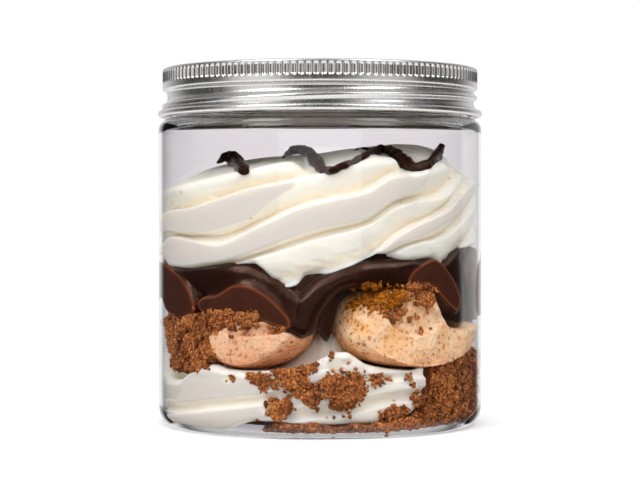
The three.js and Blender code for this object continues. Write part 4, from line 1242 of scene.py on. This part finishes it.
def build_crumb_heap(material):
    """Crumbs between the wall, the left sponge and the chocolate, closed by a plain back."""
    bearing = np.linspace(HEAP_LEFT, HEAP_RIGHT, HEAP_COLUMNS)
    lower, upper = curve_through(HEAP_LOWER, bearing), curve_through(HEAP_UPPER, bearing)
    lower = lower + 0.4 * waves(at(INNER_RADIUS, bearing, lower), 2.4, seed=65)
    height = lower + (upper - lower) * np.linspace(0, 1, HEAP_ROWS)[:, None]
    across = np.broadcast_to(bearing, height.shape)
    deep, tone, shade = crumb_relief(at(INNER_RADIUS, across, height), 64)
    from_sides = on_wall(across, HEAP_LEFT), -on_wall(across, HEAP_RIGHT)
    edge = rounded_off(np.minimum.reduce([height - lower, upper - height, *from_sides]), 1.6, 2.2)
    front = at(inside_wall(height) - deep - edge, across, height)
    back_height = upper + (lower - upper) * np.linspace(0.08, 0.92, HEAP_BACK_ROWS)[:, None]
    back = at(INNER_RADIUS - HEAP_DEPTH, bearing, back_height)
    blank = np.zeros(back.shape[:2])
    halves = (front, back), (tone, blank), (shade, blank)
    rings, tones, shades = (np.swapaxes(np.concatenate(pair), 0, 1) for pair in halves)
    points, faces = ring_skin(rings, rings[0].mean(0), rings[-1].mean(0))
    values = {"tone": ring_values((rings,), (tones,)), "shade": ring_values((rings,), (shades,))}
    return new_piece("crumb_heap_mass", points, faces, ["crumb_heap"], material, values)


def crumb_shape(level):
    """A rough little lump, as points and faces."""
    drawn = bmesh.new()
    bmesh.ops.create_icosphere(drawn, subdivisions=level, radius=1.0)
    points = np.array([v.co for v in drawn.verts])
    faces = np.array([[v.index for v in f.verts] for f in drawn.faces])
    drawn.free()
    return points, faces


def scatter_crumbs(name, places, sizes, tones, material, seed):
    """Joins one lump at each place, each turned, squeezed and roughened on its own."""
    draw = np.random.default_rng(seed)
    all_points, all_faces, all_tones, start = [], [], [], 0
    for level, chosen in ((1, sizes < 0.3), (2, sizes >= 0.3)):
        shape, faces = crumb_shape(level)
        count = int(chosen.sum())
        turned = np.linalg.qr(draw.normal(size=(count, 3, 3)))[0]
        squeeze = draw.uniform(0.6, 1.25, (count, 1, 3))
        moved = shape[None] + draw.uniform(-40, 40, (count, 1, 3))
        rough = 1 + 0.34 * waves(moved, 0.8, seed=seed + 7, count=24)[..., None]
        points = np.einsum("nij,nkj->nki", turned, shape[None] * squeeze * rough)
        points = points * sizes[chosen, None, None] + places[chosen, None]
        radius = np.hypot(points[..., 0], points[..., 1])
        points[..., 2] = np.maximum(points[..., 2], FLOOR_TOP + 0.02)
        points[..., :2] *= (np.minimum(radius, inside_wall(points[..., 2]) - 0.01) / radius)[..., None]
        firsts = start + np.arange(count)[:, None, None] * len(shape)
        all_points.append(points.reshape(-1, 3))
        all_faces += (faces[None] + firsts).reshape(-1, 3).tolist()
        all_tones.append(np.repeat(tones[chosen], len(shape)))
        start += count * len(shape)
    tone = np.concatenate(all_tones)
    values = {"tone": tone, "shade": 0 * tone}
    return new_piece(name, np.concatenate(all_points), all_faces, [], material, values)


def clumps_in(outline, count, grains_each, spread, draw, size):
    """Grains in clumps inside an outline at the wall: bearings, heights, how far out, sizes and tones."""
    corners = np.array(outline, float)
    tries = draw.uniform(corners.min(0), corners.max(0), (count * 12, 2))
    centres = tries[outline_distance(tries[:, 0], tries[:, 1], outline) < 0][:count]
    reach = spread * np.exp(draw.normal(0, 0.35, len(centres)))
    each = np.maximum(1, (grains_each * (reach / spread) ** 2).astype(int))
    owner = np.repeat(np.arange(len(centres)), each)
    offset = draw.normal(size=(len(owner), 3)) * reach[owner, None] * (0.5, 0.5, 0.4)
    sizes = size * np.exp(draw.normal(0, 0.36, len(owner)))
    tones = 0.55 * draw.uniform(0, 1, len(centres))[owner] + 0.45 * draw.uniform(0, 1, len(owner))
    bearing = centres[owner, 0] + np.degrees(offset[:, 0] / INNER_RADIUS)
    return bearing, centres[owner, 1] + offset[:, 1], np.abs(offset[:, 2]), sizes, tones


def surface_depth(trees, bearing, height):
    """How far behind the wall the first surface lies at each place."""
    depth = np.full(len(bearing), 9.0)
    outside = 1.0
    starts = at(INNER_RADIUS + outside, bearing, height) * MM
    inwards = -at(1, bearing, 0)
    for i, (start, inward) in enumerate(zip(starts, inwards)):
        hits = [tree.ray_cast(Vector(start), Vector(inward), 0.012) for tree in trees]
        reached = [hit[3] for hit in hits if hit[3] is not None]
        if reached:
            depth[i] = min(reached) / MM - outside
    return depth


def scatter_clusters(name, clusters, trees, material, size, seed):
    """Loose crumbs of some clusters, lying on the first surface behind the wall."""
    draw = np.random.default_rng(seed)
    found = [clumps_in(*cluster, draw, size) for cluster in clusters]
    bearing, height, out, sizes, tones = (np.concatenate(part) for part in zip(*found))
    depth = surface_depth(trees, bearing, height)
    kept = (depth < 7) & (height > FLOOR_TOP)
    grains_found = bearing, height, out, sizes, tones, depth
    bearing, height, out, sizes, tones, depth = (part[kept] for part in grains_found)
    depth = np.maximum(depth - 0.25 * sizes - out, 0.75 * sizes)
    places = at(inside_wall(height) - depth, bearing, height)
    return scatter_crumbs(name, places, sizes, tones, material, seed)


def build_crumbs(settings):
    """The two crumbly masses, and the loose crumbs on them, on the cream and on the sponges."""
    toasted = crumb_material("crumbs", settings.dark_colour, settings.light_colour)
    golden = crumb_material("golden_crumbs", settings.golden_dark_colour, settings.golden_light_colour)
    food = [tree_of(piece) for piece in bpy.context.scene.objects if piece.name in CRUMBS_LIE_ON]
    masses = [tree_of(build_crumb_bed(toasted)), tree_of(build_crumb_heap(toasted))]
    for name, clusters, trees, material, seed in (
        ("crumbs_on_bed", BED_CLUSTERS, masses, toasted, 3),
        ("crumbs_on_heap", HEAP_CLUSTERS, masses + food, toasted, 4),
        ("crumbs_on_cream", CREAM_CLUSTERS, food, toasted, 5),
        ("crumbs_on_sponge", SPONGE_CLUSTERS, food, toasted, 6),
        ("golden_crumbs_on_sponge", GOLDEN_CLUSTERS, food, golden, 7),
    ):
        scatter_clusters(name, clusters, trees, material, settings.size, seed)


# ---- The stage -------------------------------------------------------------------------------
def build_world(settings):
    """A studio that is plain white where it is looked at, and otherwise what food, metal and wall need."""
    world = bpy.data.worlds.new("studio")
    bpy.context.scene.world = world
    bpy.context.scene.view_settings.view_transform = "Standard"
    world.use_nodes = True
    world.cycles.sampling_method = "NONE"
    world.node_tree.nodes.clear()
    nodes = Nodes(world.node_tree)
    facing = nodes.add("ShaderNodeTexCoord").outputs["Generated"]
    x, y, z = nodes.add("ShaderNodeSeparateXYZ", None, {0: facing}).outputs
    turn = nodes.math("ARCTAN2", nodes.math("ABSOLUTE", x), nodes.times(y, -1.0))  # 0 in front, pi behind
    ray = nodes.add("ShaderNodeLightPath").outputs

    # The white that the camera sees, past the jar or through it.
    undiffused = nodes.math("LESS_THAN", ray["Diffuse Depth"], 0.5)
    unbounced = nodes.math("LESS_THAN", nodes.plus(ray["Diffuse Depth"], ray["Glossy Depth"]), 0.5)
    looked_at = nodes.times(nodes.larger(ray["Is Camera Ray"], ray["Is Transmission Ray"]), unbounced)

    # The room that lights the food.
    room = nodes.larger(nodes.ramp(y, -0.2, 0.6, settings.front_light, settings.back_light),
                        nodes.ramp(z, 0.0, -0.3, 0.0, settings.table_light))

    # The boxes at both sides, weaker at the right, that the lid mirrors.
    boxes = nodes.minus(nodes.ramp(turn, 0.34, 0.6), nodes.ramp(turn, 1.0, 1.35))
    boxes = nodes.times(boxes, nodes.ramp(x, -0.2, 0.2, 1.0, 0.72))
    metal = nodes.plus(nodes.times(boxes, settings.side_light), nodes.ramp(turn, 1.9, 2.7, 0.05, 0.9))
    metal = nodes.plus(metal, nodes.ramp(nodes.math("ABSOLUTE", z), 0.42, 0.85, 0.0, 0.4))

    # What the clear wall mirrors: a dim room, a pale streak at the right, and a bright back and floor, which
    # show at the jar's edges.
    streak = nodes.times(nodes.ramp(y, 0.44, 0.54), nodes.ramp(x, 0.1, 0.3, 0.0, 0.6))
    streak = nodes.times(streak, nodes.ramp(z, -0.075, -0.055))
    bright = nodes.larger(nodes.ramp(y, 0.82, 0.94), nodes.ramp(z, -0.4, -0.7, 0.0, 0.5))
    wall = nodes.plus(nodes.ramp(y, 0.3, 0.5, 0.012, 0.035), nodes.larger(bright, streak))

    # What the food mirrors from behind the wall.
    around_food = nodes.larger(nodes.ramp(y, 0.5, 0.9, 0.03, 0.9), nodes.ramp(z, 0.4, 0.75, 0.0, 1.0))

    behind_wall = nodes.math("GREATER_THAN", ray["Transmission Depth"], 0.5)
    through_both_skins = nodes.math("GREATER_THAN", ray["Transmission Depth"], 2.5)
    glossy = nodes.choose(behind_wall, metal, nodes.choose(through_both_skins, wall, around_food))
    soft = nodes.choose(nodes.times(ray["Is Glossy Ray"], undiffused), room, glossy)
    unseen = nodes.choose(sharply_mirrored(nodes, ray), soft, wall)
    back = nodes.add("ShaderNodeBackground", None, {
        "Color": nodes.mix(looked_at, (1.0, 1.0, 1.0), settings.backdrop_colour),
        "Strength": nodes.choose(looked_at, unseen, settings.backdrop),
    })
    nodes.add("ShaderNodeOutputWorld", None, {0: back.outputs[0]})


def sharply_mirrored(nodes, ray):
    return nodes.times(ray["Is Singular Ray"], ray["Is Reflection Ray"])


def build_floor():
    """A pale floor that fades out, and that the clear wall neither mirrors nor shows mirrored inside it."""
    bpy.ops.object.select_all(action="DESELECT")
    bpy.ops.mesh.primitive_circle_add(vertices=128, radius=1.6, fill_type="NGON", location=(0, 0, 0))
    floor = bpy.context.object
    floor.name = "floor"
    material, nodes, _ = new_material("pale_floor", {
        "Base Color": (0.9, 0.9, 0.9), "Roughness": 0.8, "Specular IOR Level": 0.1,
    })
    ray = nodes.add("ShaderNodeLightPath").outputs
    undiffused = nodes.math("LESS_THAN", ray["Diffuse Depth"], 0.5)
    share = nodes.ramp(ray["Glossy Depth"], 0.0, 1.0, 0.75, 1.0)
    through = nodes.times(nodes.times(ray["Is Transmission Ray"], undiffused), share)
    from_middle = nodes.add("ShaderNodeVectorMath", {"operation": "LENGTH"}, {0: nodes.place()})
    faded = nodes.larger(through, nodes.ramp(from_middle.outputs["Value"], 0.14, 0.42))
    let_through(nodes, nodes.larger(sharply_mirrored(nodes, ray), faded))
    floor.data.materials.append(material)


def build_lamps():
    """Soft boxes: name, place, aim, width and depth in metres, power, and whether the food mirrors it."""
    for name, place, aim, (width, depth), power, mirrored in (
        ("soft_left", (-0.42, -0.42, 0.60), (0, 0, 0.05), (0.36, 0.36), 2.4, True),
        ("soft_right", (0.42, -0.38, 0.60), (0, 0, 0.05), (0.36, 0.36), 1.7, True),
        ("soft_front", (0.0, -0.80, 0.62), (0, 0, 0.04), (0.7, 0.3), 1.4, False),
        ("soft_low", (0.0, -0.74, 0.10), (0, 0, 0.03), (0.8, 0.16), 0.6, False),
        ("top", (0.0, 0.15, 0.95), (0, 0.15, 0.0), (1.4, 1.2), 9.0, False),
    ):
        lamp = bpy.data.lights.new(name, "AREA")
        lamp.shape = "RECTANGLE"
        lamp.size, lamp.size_y, lamp.energy = width, depth, power
        holder = bpy.data.objects.new(name, lamp)
        holder.visible_glossy = mirrored
        holder.location = place
        holder.rotation_euler = (Vector(aim) - Vector(place)).to_track_quat("-Z", "Y").to_euler()
        bpy.context.scene.collection.objects.link(holder)


def build_camera():
    """The camera of the photograph, fitted to the rims of the lid and the base."""
    camera = bpy.data.cameras.new("camera")
    camera.sensor_width = 36
    camera.lens = FOCAL_PIXELS * camera.sensor_width / FRAME_WIDTH
    camera.clip_start, camera.clip_end = 0.01, 20
    holder = bpy.data.objects.new("camera", camera)
    holder.location = Vector(CAMERA_PLACE) * MM
    holder.rotation_euler = (math.pi / 2 - CAMERA_PITCH, 0, 0)
    bpy.context.scene.collection.objects.link(holder)
    bpy.context.scene.camera = holder


# ---- What a user can change ------------------------------------------------------------------
def colour_setting(name, description, default):
    return FloatVectorProperty(name=name, description=description, default=default, subtype="COLOR", size=3,
                               min=0, max=1)


def share_setting(name, description, default):
    return FloatProperty(name=name, description=description, default=default, min=0, max=1, subtype="FACTOR")


def light_setting(name, description, default):
    return FloatProperty(name=name, description=description, default=default, min=0, max=10)


class JarSettings(bpy.types.PropertyGroup):
    tint: colour_setting("Tint", "Colour of light through one wall", (0.90, 0.895, 0.90))
    roughness: share_setting("Roughness", "How dull the clear wall is", 0.0)
    gloss: share_setting("Gloss", "Share of the full mirror image seen head on", 1.0)
    ior: FloatProperty(name="Refraction", description="Index of refraction of the clear plastic",
                       default=1.5, min=1, max=2)


class LidSettings(bpy.types.PropertyGroup):
    colour: colour_setting("Colour", "Colour of the bare aluminium", (0.7, 0.69, 0.68))
    roughness: share_setting("Roughness", "Mean roughness of the satin finish", 0.26)
    knurls: IntProperty(name="Knurls", description="Number of pressed slots round the edge", default=140,
                        min=20, max=400)
    knurl_depth: FloatProperty(name="Knurl depth", description="Depth of the slots in millimetres",
                               default=0.42, min=0, max=0.8)


class CreamSettings(bpy.types.PropertyGroup):
    colour: colour_setting("Colour", "Colour of open cream", linear(253, 246, 235))
    pressed_colour: colour_setting("Pressed colour", "Colour where it is pressed flat", linear(215, 210, 204))
    # Painted shade for the creases and the back of the mound.
    painted_shade_colour: colour_setting("Crease colour", "Colour deep in the creases", linear(252, 235, 212))
    subsurface: share_setting("Softness", "Share of light that spreads inside the cream", 0.8)


class ChocolateSettings(bpy.types.PropertyGroup):
    colour: colour_setting("Colour", "Colour of the open chocolate", linear(36, 13, 8))
    pressed_colour: colour_setting("Pressed colour", "Colour where it is pressed flat", linear(64, 30, 18))
    rim_colour: colour_setting("Rim colour", "Thin rim round the pressed places", linear(122, 60, 32))
    roughness: share_setting("Roughness", "Gloss of the open chocolate", 0.24)


class SpongeSettings(bpy.types.PropertyGroup):
    left_colour: colour_setting("Left", "Colour of the left finger", linear(228, 160, 114))
    left_pale: colour_setting("Left, pale", "Paler patches of the left finger", linear(234, 183, 144))
    left_lower_edge: colour_setting("Left, browned", "Lower edge of the left finger", linear(216, 136, 88))
    right_colour: colour_setting("Right", "Colour of the right finger", linear(248, 186, 122))
    right_pale: colour_setting("Right, pale", "Paler patches of the right finger", linear(254, 220, 182))
    right_lower_edge: colour_setting("Right, browned", "Lower edge of the right finger", linear(238, 160, 98))
    # Painted shade inside the pores.
    pore_shade_colour: colour_setting("Pore colour", "Colour inside the pores", linear(196, 116, 58))


class CrumbSettings(bpy.types.PropertyGroup):
    dark_colour: colour_setting("Dark colour", "Darkest crumbs", linear(114, 54, 31))
    light_colour: colour_setting("Light colour", "Lightest crumbs", linear(252, 164, 94))
    golden_dark_colour: colour_setting("Golden, dark", "Darkest golden crumbs", linear(104, 46, 8))
    golden_light_colour: colour_setting("Golden, light", "Lightest golden crumbs", linear(236, 146, 40))
    size: FloatProperty(name="Size", description="Usual half size of a crumb in millimetres", default=0.34,
                        min=0.2, max=3)


class StageSettings(bpy.types.PropertyGroup):
    backdrop: light_setting("Backdrop", "Brightness of the white that is looked at", 1.0)
    backdrop_colour: FloatVectorProperty(
        name="Backdrop colour", description="Tone of the backdrop", subtype="COLOR", size=3, min=0,
        soft_max=1, default=(1.07, 1.02, 1.06),
    )
    front_light: light_setting("Front", "Brightness of the room in front", 0.42)
    table_light: light_setting("Table", "Brightness of the white table below", 1.3)
    back_light: light_setting("Back", "Brightness of the room behind", 0.6)
    side_light: light_setting("Sides", "Brightness of the boxes at the sides, as metal mirrors them", 1.0)


# ---- Operators -------------------------------------------------------------------------------
class TIRAMISU_OT_jar(bpy.types.Operator):
    """Turn the clear jar"""

    bl_idname = "tiramisu.jar"
    bl_label = "Clear jar"

    def execute(self, context):
        jar = turned_shell("clear_jar", jar_profile(), JAR_SIDES)
        settle(jar, ["jar"], clear_material(context.scene.tiramisu_jar))
        return {"FINISHED"}


class TIRAMISU_OT_lid(bpy.types.Operator):
    """Turn the lid, raise its thread and press its knurls"""

    bl_idname = "tiramisu.lid"
    bl_label = "Screw lid"

    def execute(self, context):
        settings = context.scene.tiramisu_lid
        lid = turned_shell("screw_lid", lid_profile(), settings.knurls * KNURL_COLUMNS)
        shape_lid(lid, settings)
        settle(lid, ["lid"], lid_material(settings))
        return {"FINISHED"}


class TIRAMISU_OT_upper_cream(bpy.types.Operator):
    """Pipe the ridged swirl and lay the drizzle on it"""

    bl_idname = "tiramisu.upper_cream"
    bl_label = "Upper cream and drizzle"

    def execute(self, context):
        cream = build_upper_cream(whipped_cream(context.scene.tiramisu_cream))
        build_drizzle(cream, drizzle_material(context.scene.tiramisu_chocolate))
        return {"FINISHED"}


class TIRAMISU_OT_chocolate(bpy.types.Operator):
    """Pour the chocolate layer"""

    bl_idname = "tiramisu.chocolate"
    bl_label = "Chocolate"

    def execute(self, context):
        build_chocolate(chocolate_material(context.scene.tiramisu_chocolate))
        return {"FINISHED"}


class TIRAMISU_OT_sponges(bpy.types.Operator):
    """Bake the two sponge fingers"""

    bl_idname = "tiramisu.sponges"
    bl_label = "Sponge fingers"

    def execute(self, context):
        tones = context.scene.tiramisu_sponge
        left = sponge_material("sponge_golden", tones.left_colour, tones.left_pale, tones.left_lower_edge,
                               tones.pore_shade_colour)
        right = sponge_material("sponge_pale", tones.right_colour, tones.right_pale, tones.right_lower_edge,
                                tones.pore_shade_colour)
        build_sponge("sponge_left", SPONGE_LEFT, left, 81)
        build_sponge("sponge_right", SPONGE_RIGHT, right, 91)
        return {"FINISHED"}


class TIRAMISU_OT_lower_cream(bpy.types.Operator):
    """Spread the lower cream"""

    bl_idname = "tiramisu.lower_cream"
    bl_label = "Lower cream"

    def execute(self, context):
        build_lower_cream(whipped_cream(context.scene.tiramisu_cream))
        return {"FINISHED"}


class TIRAMISU_OT_crumbs(bpy.types.Operator):
    """Fill in the crumb bed and heap, and scatter the loose crumbs"""

    bl_idname = "tiramisu.crumbs"
    bl_label = "Crumbs"

    def execute(self, context):
        build_crumbs(context.scene.tiramisu_crumbs)
        return {"FINISHED"}


class TIRAMISU_OT_stage(bpy.types.Operator):
    """Set the floor, the lights and the camera"""

    bl_idname = "tiramisu.stage"
    bl_label = "Stage"

    def execute(self, context):
        settings = context.scene.tiramisu_stage
        build_floor()
        build_world(settings)
        build_lamps()
        build_camera()
        return {"FINISHED"}


class TIRAMISU_PT_panel(bpy.types.Panel):
    bl_label = "Tiramisu"
    bl_idname = "TIRAMISU_PT_panel"
    bl_space_type = "VIEW_3D"
    bl_region_type = "UI"
    bl_category = "Tiramisu"

    def draw(self, context):
        for group in SETTINGS:
            box = self.layout.box()
            settings = getattr(context.scene, group)
            for key in settings.__annotations__:
                box.prop(settings, key)
        for operator in OPERATORS:
            self.layout.operator(operator.bl_idname)


SETTINGS = {
    "tiramisu_jar": JarSettings,
    "tiramisu_lid": LidSettings,
    "tiramisu_cream": CreamSettings,
    "tiramisu_chocolate": ChocolateSettings,
    "tiramisu_sponge": SpongeSettings,
    "tiramisu_crumbs": CrumbSettings,
    "tiramisu_stage": StageSettings,
}
OPERATORS = (
    TIRAMISU_OT_jar,
    TIRAMISU_OT_lid,
    TIRAMISU_OT_upper_cream,
    TIRAMISU_OT_chocolate,
    TIRAMISU_OT_sponges,
    TIRAMISU_OT_lower_cream,
    TIRAMISU_OT_crumbs,
    TIRAMISU_OT_stage,
)


def register():
    for kind in (*SETTINGS.values(), *OPERATORS, TIRAMISU_PT_panel):
        bpy.utils.register_class(kind)
    for key, kind in SETTINGS.items():
        setattr(bpy.types.Scene, key, PointerProperty(type=kind))


def unregister():
    for key in SETTINGS:
        delattr(bpy.types.Scene, key)
    for kind in reversed((*SETTINGS.values(), *OPERATORS, TIRAMISU_PT_panel)):
        bpy.utils.unregister_class(kind)


def main():
    register()
    for operator in OPERATORS:
        getattr(bpy.ops.tiramisu, operator.bl_idname.split(".")[1])()


if __name__ == "__main__":
    main()
